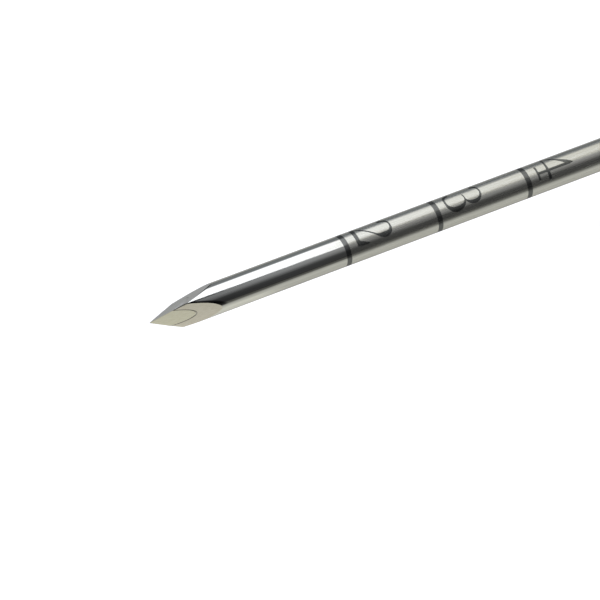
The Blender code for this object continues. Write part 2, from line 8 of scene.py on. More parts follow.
import enum
import logging
import math
from dataclasses import dataclass, field
from typing import Any, Callable, Sequence

import bpy
import numpy as np
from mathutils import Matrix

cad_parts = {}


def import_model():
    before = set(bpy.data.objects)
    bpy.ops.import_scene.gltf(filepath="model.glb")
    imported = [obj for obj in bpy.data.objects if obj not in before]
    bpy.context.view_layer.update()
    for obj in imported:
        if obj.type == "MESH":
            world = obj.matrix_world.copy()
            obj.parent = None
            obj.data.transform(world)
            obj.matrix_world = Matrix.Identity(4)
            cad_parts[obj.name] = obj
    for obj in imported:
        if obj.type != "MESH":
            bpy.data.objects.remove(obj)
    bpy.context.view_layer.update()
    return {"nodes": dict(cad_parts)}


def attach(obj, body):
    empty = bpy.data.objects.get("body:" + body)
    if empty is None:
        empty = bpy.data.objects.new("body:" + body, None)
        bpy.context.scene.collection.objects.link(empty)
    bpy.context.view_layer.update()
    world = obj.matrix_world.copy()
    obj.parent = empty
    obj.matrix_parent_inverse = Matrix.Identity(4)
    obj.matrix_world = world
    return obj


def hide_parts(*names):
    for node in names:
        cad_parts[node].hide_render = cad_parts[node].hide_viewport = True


log = logging.getLogger("needle")

OVERALL_LENGTH = 168.0
AXIS_HEIGHT = 8.5
POINT_PLACE = (-OVERALL_LENGTH / 2, 0.0, AXIS_HEIGHT)
POINT_REACH = 0.14
FIRST_RIDGE = math.radians(-26.0)
RIM_RADIUS = 1.505
CANNULA_RADIUS = 1.525
BORE_RADIUS = 0.98
SEAM_RADIUS = 0.995
CANNULA_END = 141.27
FIRST_MARK = 20.45
MARK_PITCH = 10.0
MARK_WIDTH = 0.52
MARKS_FROM = 15.0
MARKS_TO = 96.0
NUMBER_PROUD = 0.004
NUMBER_SUNK = 0.03
PIN_STATION = 158.45
CRISP_ANGLE = math.radians(28.0)
LONGEST_ARC = 0.45
NEARLY_STRAIGHT = math.radians(87.0)
TURNED_COLUMNS = 96
ROOM_COLUMNS = 64
PIN_COLUMNS = 32
SCREW_COLUMNS = 48
SHEET_REACH = 3.0
REFLECTION_SHEET_HEIGHT = 0.0002
WHITE = (1.0, 1.0, 1.0)

Colour = tuple[float, float, float]
Place = tuple[float, float, float]
Profile = Sequence[tuple[float, float]]
Material = bpy.types.Material
Socket = bpy.types.NodeSocket


def to_row(points: np.ndarray) -> np.ndarray:
    """Turns millimetres from the needle's point into the row's metres."""
    return (np.asarray(points, float) + POINT_PLACE) / 1000.0


@dataclass(frozen=True)
class Facet:
    """One ground plane of the point. It passes through the point, POINT_REACH ahead of station 0.

    Attributes:
        clock: The angle round the axis that it faces.
        lean: Its angle to the axis.
    """

    clock: float
    lean: float

    def slope(self, angles: np.ndarray) -> np.ndarray:
        """How far back the plane lies for each unit of radius: cos(angle - clock) / tan(lean)."""
        return np.cos(angles - self.clock) / math.tan(self.lean)

    def meets(self, other: "Facet") -> float:
        """The angle of the ridge between two planes, where their slopes are equal, from this one on."""
        own, far = (np.exp(1j * plane.clock) / math.tan(plane.lean) for plane in (self, other))
        ridge = float(np.angle(1j * (far - own)))
        return ridge if math.cos(ridge - self.clock) > 0 else ridge + math.pi


FRONT_FACET = Facet(math.radians(-86.0), math.radians(12.45))
BACK_FACET = Facet(math.radians(34.0), math.radians(12.45))
UNDER_FACET = Facet(math.radians(154.0), math.radians(15.5))
FACETS = (FRONT_FACET, BACK_FACET, UNDER_FACET)


class End(enum.Enum):
    """How the first and last rings of a surface close."""

    JOINED = "the last ring meets the first, as round a bore"
    FLAT = "one flat face over each end"
    POINT = "a fan to the middle of each end ring"


class Body(enum.Enum):
    """The CAD bodies that pieces ride on."""

    HANDLE = "cannula_and_handle"
    STYLET = "stylet_and_cap"
    COLLAR = "lock_collar"


# Meshes


@dataclass
class Surface:
    """A closed surface of rings, each with the same number of points.

    Attributes:
        rings: Points in millimetres, rings by columns by three.
        end: How the first and last rings close.
        sharp_rings: Rings whose own edges stay crisp.
        sharp_columns: Columns whose edges stay crisp, up to the ring `crisp_to`.
        crisp_to: Their last ring, or None for all of them.
    """

    rings: np.ndarray
    end: End = End.FLAT
    sharp_rings: Sequence[int] = ()
    sharp_columns: Sequence[int] = ()
    crisp_to: int | None = None

    def corners(self) -> tuple[np.ndarray, list[np.ndarray]]:
        """Lists the points and the faces.

        Returns:
            The points, with a middle point for each pointed end, and blocks of faces that have the same
            number of corners, turned so that they face out.
        """
        count, columns, _ = self.rings.shape
        points = self.rings.reshape(-1, 3)
        ring = np.arange(count if self.end is End.JOINED else count - 1)[:, None]
        first = np.arange(columns)
        after = (first + 1) % columns
        last = first + (count - 1) * columns
        low, high = ring * columns, (ring + 1) % count * columns
        blocks = [np.stack([low + first, low + after, high + after, high + first], axis=-1).reshape(-1, 4)]
        if self.end is End.FLAT:
            blocks += [first[None, ::-1], last[None, :]]
        elif self.end is End.POINT:
            size = len(points)
            points = np.vstack([points, self.rings[0].mean(axis=0), self.rings[-1].mean(axis=0)])
            blocks.append(np.stack([after, first, np.full(columns, size)], axis=1))
            blocks.append(np.stack([last, np.roll(last, -1), np.full(columns, size + 1)], axis=1))
        if signed_volume(points, blocks) < 0:
            blocks = [block[:, ::-1] for block in blocks]
        return points, blocks

    def crisp(self, edges: np.ndarray) -> np.ndarray:
        """Says which edges stay crisp.

        Args:
            edges: Pairs of point numbers.

        Returns:
            One truth value for each edge.
        """
        count, columns, _ = self.rings.shape
        inside = (edges < count * columns).all(axis=1)
        ring, column = edges // columns, edges % columns
        along = (ring[:, 0] == ring[:, 1]) & np.isin(ring[:, 0], list(self.sharp_rings))
        reach = count if self.crisp_to is None else self.crisp_to
        across = (column[:, 0] == column[:, 1]) & np.isin(column[:, 0], list(self.sharp_columns))
        across &= ring.max(axis=1) <= reach
        return inside & (along | across)


def signed_volume(points: np.ndarray, blocks: Sequence[np.ndarray]) -> float:
    """Six times the volume, summed over each face's fan of triangles: above 0 if the faces point out."""
    faces = [points[block] for block in blocks]
    fans = [np.cross(corners[:, 1:-1], corners[:, 2:]).sum(axis=1) for corners in faces]
    return float(sum((corners[:, 0] * fan).sum() for corners, fan in zip(faces, fans)))


def new_mesh(name: str, surfaces: Sequence[Surface]) -> bpy.types.Mesh:
    """Puts one or more closed surfaces into one mesh, in the row's metres.

    Args:
        name: The mesh's name.
        surfaces: The surfaces, each closed by itself.

    Returns:
        The mesh, shaded smooth but for its crisp edges.
    """
    points, loops, totals, starts = [], [], [], [0]
    for surface in surfaces:
        corners, blocks = surface.corners()
        points.append(corners)
        loops += [block.ravel() + starts[-1] for block in blocks]
        totals += [np.full(len(block), block.shape[1]) for block in blocks]
        starts.append(starts[-1] + len(corners))
    places = to_row(np.vstack(points)).astype(np.float32)
    corner_list = np.concatenate(loops).astype(np.int32)
    face_ends = np.cumsum(np.concatenate(totals))
    mesh = bpy.data.meshes.new(name)
    mesh.vertices.add(len(places))
    mesh.vertices.foreach_set("co", places.ravel())
    mesh.loops.add(len(corner_list))
    mesh.loops.foreach_set("vertex_index", corner_list)
    mesh.polygons.add(len(face_ends))
    mesh.polygons.foreach_set("loop_start", np.append(0, face_ends[:-1]).astype(np.int32))
    mesh.update(calc_edges=True)
    mesh.shade_smooth()
    edges = np.empty(len(mesh.edges) * 2, np.int32)
    mesh.edges.foreach_get("vertices", edges)
    edges = edges.reshape(-1, 2)
    crisp = np.zeros(len(edges), bool)
    for surface, start, end in zip(surfaces, starts, starts[1:]):
        own = ((edges >= start) & (edges < end)).all(axis=1)
        crisp[own] = surface.crisp(edges[own] - start)
    mesh.attributes.new("sharp_edge", "BOOLEAN", "EDGE").data.foreach_set("value", crisp)
    mesh.validate()
    return mesh


def add_object(name: str, data: Any) -> bpy.types.Object:
    """Adds an object to the scene, at the origin."""
    obj = bpy.data.objects.new(name, data)
    bpy.context.scene.collection.objects.link(obj)
    return obj


def add_piece(
    name: str,
    shape: Sequence[Surface] | bpy.types.Mesh,
    material: Material,
    body: Body,
    node: str | None = None,
) -> None:
    """Adds a finished piece at the origin, riding on a body.

    Args:
        name: The piece's name.
        shape: Its closed surfaces, or its mesh in the row's metres.
        material: Its finish.
        body: The CAD body that it moves with.
        node: The CAD node that it takes the place of, if any.
    """
    mesh = shape if isinstance(shape, bpy.types.Mesh) else new_mesh(name, shape)
    mesh.materials.append(material)
    piece = add_object(name, mesh)
    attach(piece, body.value)
    if node:
        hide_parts(node)
    log.info("%s: %d faces", name, len(mesh.polygons))


class Way(enum.Enum):
    """The way that a turned piece's axis runs, then the two directions across it."""

    ALONG = ((1.0, 0.0, 0.0), (0.0, 1.0, 0.0), (0.0, 0.0, 1.0))
    ACROSS = ((0.0, 1.0, 0.0), (0.0, 0.0, 1.0), (1.0, 0.0, 0.0))
    UP = ((0.0, 0.0, 1.0), (1.0, 0.0, 0.0), (0.0, 1.0, 0.0))


def around(
    stations: np.ndarray,
    radii: np.ndarray,
    angles: np.ndarray,
    way: Way = Way.ALONG,
    origin: Place = (0.0, 0.0, 0.0),
) -> np.ndarray:
    """Places points at distances along an axis and from it, and at angles round it.

    A point is origin + s × along + r × (sin a × first across + cos a × second across).

    Args:
        stations: Distances s along the axis, broadcast with the others.
        radii: Distances r from the axis.
        angles: Angles a round the axis.
        way: The way the axis runs.
        origin: A place on the axis.

    Returns:
        The points, with a last axis of three.
    """
    s, r, a = np.broadcast_arrays(stations, radii, angles)
    return np.stack([s, r * np.sin(a), r * np.cos(a)], axis=-1) @ np.array(way.value) + np.array(origin)


def full_turn(count: int, start: float = 0.0) -> np.ndarray:
    """Evenly spaced angles once round the axis."""
    return start + np.arange(count) * (2 * math.pi / count)


def eased(profile: Profile, radius: float, closed: bool, steps: int = 4) -> np.ndarray:
    """Rounds the corners of a profile with small arcs.

    Each arc touches both sides of its corner, with one more point just outside either end, which keeps
    the flat parts beside it flat in shading. Ends of an open profile stay as they are.

    Args:
        profile: Corners as (station, radius).
        radius: The arcs' radius, made smaller where a side is short.
        closed: Whether the last corner meets the first.
        steps: How many lines make one arc.

    Returns:
        The new profile as an array.
    """
    corners = np.asarray(profile, float)
    count = len(corners)
    made = []
    for i, corner in enumerate(corners):
        if not closed and i in (0, count - 1):
            made.append(corner[None, :])
            continue
        back, ahead = corners[i - 1] - corner, corners[(i + 1) % count] - corner
        back_length, ahead_length = np.hypot(*back), np.hypot(*ahead)
        back, ahead = back / back_length, ahead / ahead_length
        half = math.acos(float(np.clip(back @ ahead, -1.0, 1.0))) / 2
        if half > NEARLY_STRAIGHT:
            made.append(corner[None, :])
            continue
        reach = min(radius / math.tan(half), LONGEST_ARC * back_length, LONGEST_ARC * ahead_length)
        size = reach * math.tan(half)
        middle = corner + (back + ahead) / np.hypot(*(back + ahead)) * size / math.sin(half)
        start, end = corner + back * reach - middle, corner + ahead * reach - middle
        turn = math.atan2(start[0] * end[1] - start[1] * end[0], float(start @ end))
        angles = math.atan2(start[1], start[0]) + turn * np.linspace(0.0, 1.0, steps + 1)
        arc = middle + size * np.stack([np.cos(angles), np.sin(angles)], axis=1)
        spare = min(0.03, 0.04 * back_length, 0.04 * ahead_length)
        made += [(corner + back * (reach + spare))[None, :], arc, (corner + ahead * (reach + spare))[None, :]]
    return np.vstack(made)


def turned(
    profile: Profile | np.ndarray,
    columns: int,
    end: End,
    way: Way = Way.ALONG,
    origin: Place = (0.0, 0.0, 0.0),
) -> Surface:
    """Turns a profile about an axis: every point (s, r) goes round at distance r, in so many columns."""
    section = np.asarray(profile, float)
    return Surface(around(section[:, :1], section[:, 1:], full_turn(columns, FIRST_RIDGE), way, origin), end)


def rounded_outline(corners: Sequence[Place], inset: float, step: float = math.radians(4.0)) -> np.ndarray:
    """Points round an outline whose corners are arcs, drawn in by an inset.

    An arc keeps its centre, so its radius shrinks by the inset where the corner points out and grows
    where it points in: point = centre + (spoke turned by its share of the corner) × (radius - side ×
    inset), side being 1 or -1. Places are complex numbers here.

    Args:
        corners: (across, up, radius) of each corner, in order.
        inset: How far the outline is drawn in.
        step: The largest turn between two points.

    Returns:
        Points (across, up), as many for every inset.
    """
    sizes = np.asarray(corners, float)
    places = sizes[:, 0] + 1j * sizes[:, 1]
    into = places - np.roll(places, 1)
    into /= np.abs(into)
    turns = np.angle(np.roll(into, -1) / into)
    arcs = []
    for place, start, turn, radius in zip(places, into, turns, sizes[:, 2]):
        side = math.copysign(1.0, turn)
        inwards = 1j * start * side
        centre = place - start * radius * math.tan(abs(turn) / 2) + inwards * radius
        swing = turn * np.linspace(0.0, 1.0, math.ceil(abs(turn) / step) + 2)
        arcs.append(centre - inwards * np.exp(1j * swing) * (radius - side * inset))
    whole = np.concatenate(arcs)
    return np.stack([whole.real, whole.imag], axis=-1)


def pillow(corners: Sequence[Place], layers: Profile | np.ndarray, way: Way) -> Surface:
    """Stacks insets of one outline along the way.

    Args:
        corners: The outline's corners, as `rounded_outline` takes them.
        layers: The layers in order, as (height, inset).
        way: UP for an outline seen from above, or ALONG for one seen along the needle.

    Returns:
        The surface, with a flat face over each end.
    """
    rings = []
    for height, inset in layers:
        outline = rounded_outline(corners, inset)
        rise = np.full((len(outline), 1), height)
        rings.append(np.hstack([outline, rise] if way is Way.UP else [rise, outline]))
    return Surface(np.stack(rings), End.FLAT)


def carved(name: str, body: Sequence[Surface], cutters: Sequence[Sequence[Surface]]) -> bpy.types.Mesh:
    """Cuts closed surfaces out of others with exact Booleans.

    Args:
        name: The new mesh's name.
        body: The surfaces that are cut, as one mesh.
        cutters: What is cut away, one mesh at a time.

    Returns:
        The mesh, shaded smooth but for edges sharper than CRISP_ANGLE.
    """
    whole = add_object(name, new_mesh(f"{name}_whole", body))
    helpers = [add_object(f"{name}_cutter", new_mesh(f"{name}_cutter", each)) for each in cutters]
    for helper in helpers:
        modifier = whole.modifiers.new(helper.name, "BOOLEAN")
        modifier.operation = "DIFFERENCE"
        modifier.solver = "EXACT"
        modifier.object = helper
    graph = bpy.context.evaluated_depsgraph_get()
    mesh = bpy.data.meshes.new_from_object(whole.evaluated_get(graph), depsgraph=graph)
    for obj in (whole, *helpers):
        bpy.data.objects.remove(obj)
    mesh.name = name
    mesh.shade_smooth()
    mesh.set_sharp_from_angle(angle=CRISP_ANGLE)
    return mesh


# Shader maths


def math_method(operation: str, reflected: bool = False) -> Callable[..., "Wire"]:
    """Makes a method of Wire that adds one Math node.

    Args:
        operation: The node's operation.
        reflected: Whether the wire's own value comes second.

    Returns:
        The method. It takes the operation's other value, if there is one, and returns the result.
    """

    def method(wire: "Wire", *others: "Wire | float") -> "Wire":
        """Adds the node between the wire and the other values."""
        values = (*others, wire) if reflected else (wire, *others)
        node = wire.graph.node("ShaderNodeMath", {"operation": operation}, enumerate(values))
        return Wire(wire.graph, node)

    return method


class Wire:
    """A shader value that takes part in Python arithmetic. Each operation adds one Math node."""

    def __init__(self, graph: "Graph", source: bpy.types.Node | Socket) -> None:
        """Wraps an output socket, or a node's first output."""
        self.graph = graph
        self.socket = source.outputs[0] if isinstance(source, bpy.types.Node) else source

    __add__ = __radd__ = math_method("ADD")
    __sub__ = math_method("SUBTRACT")
    __rsub__ = math_method("SUBTRACT", reflected=True)
    __mul__ = __rmul__ = math_method("MULTIPLY")
    __truediv__ = math_method("DIVIDE")
    __abs__ = math_method("ABSOLUTE")
    root = math_method("SQRT")
    larger = math_method("MAXIMUM")
    modulo = math_method("FLOORED_MODULO")
    angle_to = math_method("ARCTAN2")

    def from_nearest(self, first: float, pitch: float) -> "Wire":
        """How far this value lies from the nearest of first, first + pitch and so on."""
        return abs((self - (first - pitch / 2)).modulo(pitch) - pitch / 2)

    def rise(self, low: float, high: float) -> "Wire":
        """A smooth step from 0 at low to 1 at high; low may be the larger of the two."""
        inputs = {"Value": self, "From Min": low, "From Max": high}
        if low > high:
            inputs = {"Value": self, "From Min": high, "From Max": low, "To Min": 1.0, "To Max": 0.0}
        node = self.graph.node("ShaderNodeMapRange", {"interpolation_type": "SMOOTHSTEP"}, inputs)
        return Wire(self.graph, node)


class Graph:
    """A node tree and the few calls that fill it."""

    def __init__(self, owner: Material | bpy.types.World) -> None:
        """Takes over the nodes of a material or a world."""
        owner.use_nodes = True
        self.tree = owner.node_tree

    def fill(self, node: bpy.types.Node, inputs: Any) -> None:
        """Sets or links a node's sockets.

        Args:
            node: The node.
            inputs: Numbers, colours, wires or sockets, in a dict or as pairs, by the name, identifier or
                number of the socket that they go into.
        """
        for key, value in dict(inputs).items():
            named = (s for s in node.inputs if key in (s.identifier, s.name))
            socket = node.inputs[key] if isinstance(key, int) else next(named)
            value = value.socket if isinstance(value, Wire) else value
            if isinstance(value, Socket):
                self.tree.links.new(value, socket)
            elif socket.type == "RGBA" and len(value) == 3:
                socket.default_value = (*value, 1.0)
            else:
                socket.default_value = value

    def node(self, kind: str, settings: dict[str, Any] | None = None, inputs: Any = ()) -> bpy.types.Node:
        """Adds a node.

        Args:
            kind: The node's type.
            settings: Its properties.
            inputs: Its sockets' values, as `fill` takes them.

        Returns:
            The node.
        """
        node = self.tree.nodes.new(kind)
        for name, value in (settings or {}).items():
            setattr(node, name, value)
        self.fill(node, inputs)
        return node

    def blend(self, share: Wire | float, first: Any, second: Any, how: str = "MIX") -> Socket:
        """Mixes two colours by the second one's share; `how` is the Mix node's blend type."""
        inputs = {"Factor_Float": share, "A_Color": first, "B_Color": second}
        node = self.node("ShaderNodeMix", {"data_type": "RGBA", "blend_type": how}, inputs)
        return next(s for s in node.outputs if s.identifier == "Result_Color")

    def grained(self, share: float, colour: Any, grain: Wire) -> Socket:
        """Lets a grain lighten and darken a colour, by an overlay."""
        return self.blend(share, colour, self.vector(grain, grain, grain), "OVERLAY")

    def vector(self, x: Any, y: Any, z: Any) -> Socket:
        """Joins three values into a vector."""
        return self.node("ShaderNodeCombineXYZ", None, {"X": x, "Y": y, "Z": z}).outputs[0]

    def parts(self, vector: Socket) -> list[Wire]:
        """Splits a vector into its three values."""
        return [Wire(self, part) for part in self.node("ShaderNodeSeparateXYZ", None, {0: vector}).outputs]

    def noise(self, place: Socket, scale: float, detail: float = 2.0, rough: float = 0.5) -> Wire:
        """Soft noise, centred on 0.5, of `scale` waves for each unit of place, with finer layers in it."""
        inputs = {"Vector": place, "Scale": scale, "Detail": detail, "Roughness": rough}
        return Wire(self, self.node("ShaderNodeTexNoise", {"noise_dimensions": "3D"}, inputs))

    def ramp(self, value: Wire, stops: Profile) -> Wire:
        """Reads a level off a line through stops.

        Args:
            value: What is looked up, from 0 to 1.
            stops: The stops as (value, level).

        Returns:
            The level.
        """
        node = self.node("ShaderNodeValToRGB", None, {0: value})
        elements = node.color_ramp.elements
        for element, (position, level) in zip(elements, (stops[0], stops[-1])):
            element.position, element.color = position, (level, level, level, 1.0)
        for position, level in stops[1:-1]:
            elements.new(position).color = (level, level, level, 1.0)
        return Wire(self, self.node("ShaderNodeSeparateColor", None, {0: node.outputs[0]}))

    def feed(self, **values: Any) -> None:
        """Sets or links the Principled shader's sockets, by name with _ for a space."""
        named = {name.replace("_", " "): value for name, value in values.items()}
        self.fill(self.tree.nodes["Principled BSDF"], named)

    def shader(self, kind: str, **values: Any) -> Socket:
        """Adds a shader node, and gives its output."""
        return self.node(f"ShaderNode{kind}", None, values).outputs[0]

    def mixed(self, share: Any, first: Socket, second: Socket) -> Socket:
        """Mixes two shaders by the second one's share."""
        return self.node("ShaderNodeMixShader", None, {0: share, 1: first, 2: second}).outputs[0]

    def relief(self, height: Wire, depth: float, strength: float) -> None:
        """Gives the surface a relief of a height from 0 to 1, where 1 stands `depth` millimetres high."""
        inputs = {"Height": height, "Distance": depth / 1000.0, "Strength": strength}
        self.feed(Normal=self.node("ShaderNodeBump", None, inputs).outputs[0])

    def end(self, shader: Socket) -> None:
        """Links a shader to the tree's output."""
        self.tree.links.new(shader, next(n for n in self.tree.nodes if "OUTPUT" in n.type).inputs["Surface"])


@dataclass
class NeedlePlace:
    """Where a shading point lies on the needle, in millimetres.

    Attributes:
        station: Distance from the point along the axis.
        y: Distance along the wings.
        z: Height over the axis.
        radius: Distance from the axis.
        place: The three lengths as one vector.
    """

    station: Wire
    y: Wire
    z: Wire
    radius: Wire
    place: Socket

    @classmethod
    def read(cls, graph: Graph) -> "NeedlePlace":
        """Reads Object coordinates and turns them into the needle's own."""
        coordinates = graph.node("ShaderNodeTexCoord").outputs["Object"]
        inputs = {"Vector": coordinates, "Scale": (1000.0,) * 3, "Location": tuple(-v for v in POINT_PLACE)}
        place = graph.node("ShaderNodeMapping", {"vector_type": "POINT"}, inputs).outputs[0]
        station, y, z = graph.parts(place)
        return cls(station, y, z, (y * y + z * z).root(), place)


class Finish:
    """A material. Each finish is a frozen dataclass that fills in `dress`."""

    name: str
    metal: float = 0.0

    def build(self) -> Material:
        """Makes a material with a Principled shader, dressed by this finish."""
        material = bpy.data.materials.new(self.name)
        graph = Graph(material)
        graph.feed(Metallic=self.metal)
        self.dress(graph, NeedlePlace.read(graph))
        return material

    def dress(self, graph: Graph, at: NeedlePlace) -> None:
        """Fills in the colour, gloss and relief from where the shading point lies."""
        raise NotImplementedError


@dataclass(frozen=True)
class NeedleSteel(Finish):
    """Drawn steel tube or rod: mirror-polished towards the point, brushed lengthwise past the first mark.

    Attributes:
        plain: The colour of the round sides.
        warm: The colour of the facet that faces down and to the front, a painted reflection lighter and
            warmer than the others.
        cool: The colour of the other two, a painted reflection cooler than the front facet's.
        etched: The colour of the depth marks.
        painted_shade: Painted shade, near black: inside the bore, a line at the gap round the rod, along the
            ridges and in a band behind the facets' rim.
        polished: The roughness of the mirror end.
        brushed: How much rougher the satin shank is.
        tube: Whether it is the tube, with a bore and depth marks.
    """

    name: str = "needle_steel"
    metal: float = 1.0
    plain: Colour = (0.529, 0.525, 0.470)
    warm: Colour = (0.592, 0.557, 0.458)
    cool: Colour = (0.585, 0.590, 0.585)
    etched: Colour = (0.137, 0.140, 0.131)
    painted_shade: Colour = (0.03, 0.03, 0.03)
    polished: float = 0.055
    brushed: float = 0.19
    tube: bool = True

    def facet_station(self, at: NeedlePlace, facet: Facet) -> Wire:
        """How far behind the point one facet's plane lies: (y sin c + z cos c) / tan(lean)."""
        flat = 1.0 / math.tan(facet.lean)
        return at.y * (math.sin(facet.clock) * flat) + at.z * (math.cos(facet.clock) * flat)

    def dress_point(self, graph: Graph, at: NeedlePlace) -> tuple[Socket, Wire]:
        """Colours the facets, and paints shade at the gap round the rod, along the ridges and behind the rim.

        The painted gap shade is a line at SEAM_RADIUS, as wide on the slanting facet as it is on a square
        one. The painted band behind the rim darkens the upper part of the side, towards -y, as a painted dark
        reflection of the rolled edge.

        Args:
            graph: The material's nodes.
            at: Where the shading point lies.

        Returns:
            The colour, and how far the surface is ground.
        """
        front, back, under = (self.facet_station(at, facet) for facet in FACETS)
        on_front = (front - back.larger(under)).rise(-0.045, 0.045)
        point = at.station.rise(9.0, 8.0)
        behind = at.station + POINT_REACH - front.larger(back).larger(under)
        ground = behind.rise(0.027, 0.005) * point
        across = at.y * math.cos(FRONT_FACET.clock) - at.z * math.sin(FRONT_FACET.clock)
        tilt = front * (math.tan(FRONT_FACET.lean) * math.sin(FRONT_FACET.lean))
        spread = (tilt * tilt + across * across).root() / at.radius
        # Painted shade: a dark line on the front facet at the gap between the tube and the rod, where shade
        # falls between the parts.
        gap_shade = (abs(at.radius - SEAM_RADIUS) / spread).rise(0.034, 0.016) * on_front
        # Painted shade: a dark line along the ridge between the front and back facets, darker near the rim,
        # for the shade on the rounded ridge.
        ridge = abs(front - back).rise(0.2, 0.045) * (0.25 + at.radius.rise(0.90, 1.0) * 0.6)
        # Painted shade: a dark band on the side just behind the facets' rim, upper side only, for the rolled
        # edge's dark reflection.
        painted_edge_shade = (behind / (0.23 + on_front * 0.4)).rise(1.3, 0.7) * point * at.z.rise(0.22, 0.44)
        # Painted reflection: the front facet gets a lighter, warmer colour and the other two a cooler one,
        # for what each reflects.
        facets = graph.blend(on_front, self.cool, self.warm)
        facets = graph.blend(gap_shade * 0.8, facets, self.painted_shade)
        facets = graph.blend(ridge, facets, self.painted_shade)
        # The painted shade band behind the rim goes into the side's colour, towards -y only.
        colour = graph.blend(painted_edge_shade * at.y.rise(0.6, 0.3) * 0.88, self.plain, self.painted_shade)
        colour = graph.blend(ground, colour, facets)
        grind = graph.noise(graph.vector(at.station * 0.25, at.y * 9.0, at.z * 9.0), 1.0, 3.0)
        return graph.grained(0.16, colour, grind), ground

    def dress(self, graph: Graph, at: NeedlePlace) -> None:
        """Colours the point and the marks, and brushes the sides past the first mark."""
        colour, ground = self.dress_point(graph, at)
        satin = at.station.rise(FIRST_MARK - 0.3, FIRST_MARK + 0.3)
        streaks = graph.noise(graph.vector(at.station * 0.12, at.y * 11.0, at.z * 11.0), 1.0, 3.0, 0.6)
        uneven = (streaks - 0.5) * (satin * 0.16 + 0.02)
        roughness = self.polished + satin * self.brushed + uneven + ground * 0.05
        if self.tube:
            # Painted shade: the inside of the bore is coloured near black, for the shade within the tube.
            bore = at.radius.rise(BORE_RADIUS + 0.02, BORE_RADIUS + 0.01)
            colour = graph.blend(bore * (1.0 - ground), colour, self.painted_shade)
            near = at.station.from_nearest(FIRST_MARK, MARK_PITCH)
            mark = near.rise(MARK_WIDTH / 2 + 0.03, MARK_WIDTH / 2 - 0.03)
            mark = mark * at.station.rise(MARKS_FROM, MARKS_FROM + 0.1)
            mark = mark * at.station.rise(MARKS_TO + 0.1, MARKS_TO)
            colour = graph.blend(mark, colour, self.etched)
            roughness = roughness + mark * 0.01
        graph.feed(Base_Color=colour, Roughness=roughness, Specular_Tint=(0.5, 0.5, 0.5))
        graph.relief(streaks, 0.004, 0.35)


@dataclass(frozen=True)
class EtchedMark(Finish):
    """Etched black in the steel, for the depth numbers."""

    name: str = "etched_mark"
    metal: float = 1.0
    colour: Colour = (0.104, 0.107, 0.100)

    def dress(self, graph: Graph, at: NeedlePlace) -> None:
        """Gives the etching its matt, slightly uneven black."""
        grain = graph.noise(at.place, 14.0, 3.0)
        colour = graph.blend(grain, self.colour, tuple(1.3 * v for v in self.colour))
        graph.feed(Base_Color=colour, Roughness=0.20 + grain * 0.12, Specular_Tint=(0.5, 0.5, 0.5))
        graph.relief(grain, 0.003, 0.3)


@dataclass(frozen=True)
class TurnedSteel(Finish):
    """Steel from a lathe: fine rings round the axis, and circles on faces square to it.

    Attributes:
        colour: The clean metal.
        stain: The faint warm tarnish on it.
    """

    name: str = "turned_steel"
    metal: float = 1.0
    colour: Colour = (0.56, 0.56, 0.55)
    stain: Colour = (0.47, 0.455, 0.43)

    def dress(self, graph: Graph, at: NeedlePlace) -> None:
        """Cuts the rings by station plus radius, and lets a little tarnish gather in patches."""
        across = (at.station + at.radius) * 16.0
        rings = graph.noise(graph.vector(across, at.y * 0.35, at.z * 0.35), 1.0, 3.0, 0.7)
        patches = graph.noise(at.place, 0.35, 4.0, 0.6)
        colour = graph.blend(patches.rise(0.42, 0.75) * 0.6, self.colour, self.stain)
        colour = graph.grained(0.18, colour, rings)
        graph.feed(Base_Color=colour, Roughness=0.21 + rings * 0.12 + patches * 0.06)
        graph.relief(rings, 0.012, 0.6)


@dataclass(frozen=True)
class ScrewSteel(Finish):
    """Blackened screw steel: grainy, with brighter wear in small spots.

    Attributes:
        colour: The dark oxide.
        bright: The metal where it has worn through.
    """

    name: str = "screw_steel"
    metal: float = 1.0
    colour: Colour = (0.36, 0.36, 0.375)
    bright: Colour = (0.60, 0.60, 0.59)

    def dress(self, graph: Graph, at: NeedlePlace) -> None:
        """Mixes oxide and worn metal by noise, and gives the heads a fine grain."""
        grain = graph.noise(at.place, 9.0, 3.0, 0.65)
        wear = graph.noise(at.place, 1.3, 4.0, 0.65).rise(0.52, 0.72)
        colour = graph.blend(wear * 0.65, self.colour, self.bright)
        graph.feed(Base_Color=colour, Roughness=0.42 - wear * 0.14 + (grain - 0.5) * 0.2)
        graph.relief(grain, 0.02, 0.5)


class Parting(enum.Enum):
    """Where a moulding's two halves meet."""

    LEVEL = "along the flat middle of the handle"
    PALM = "across the palm cap"


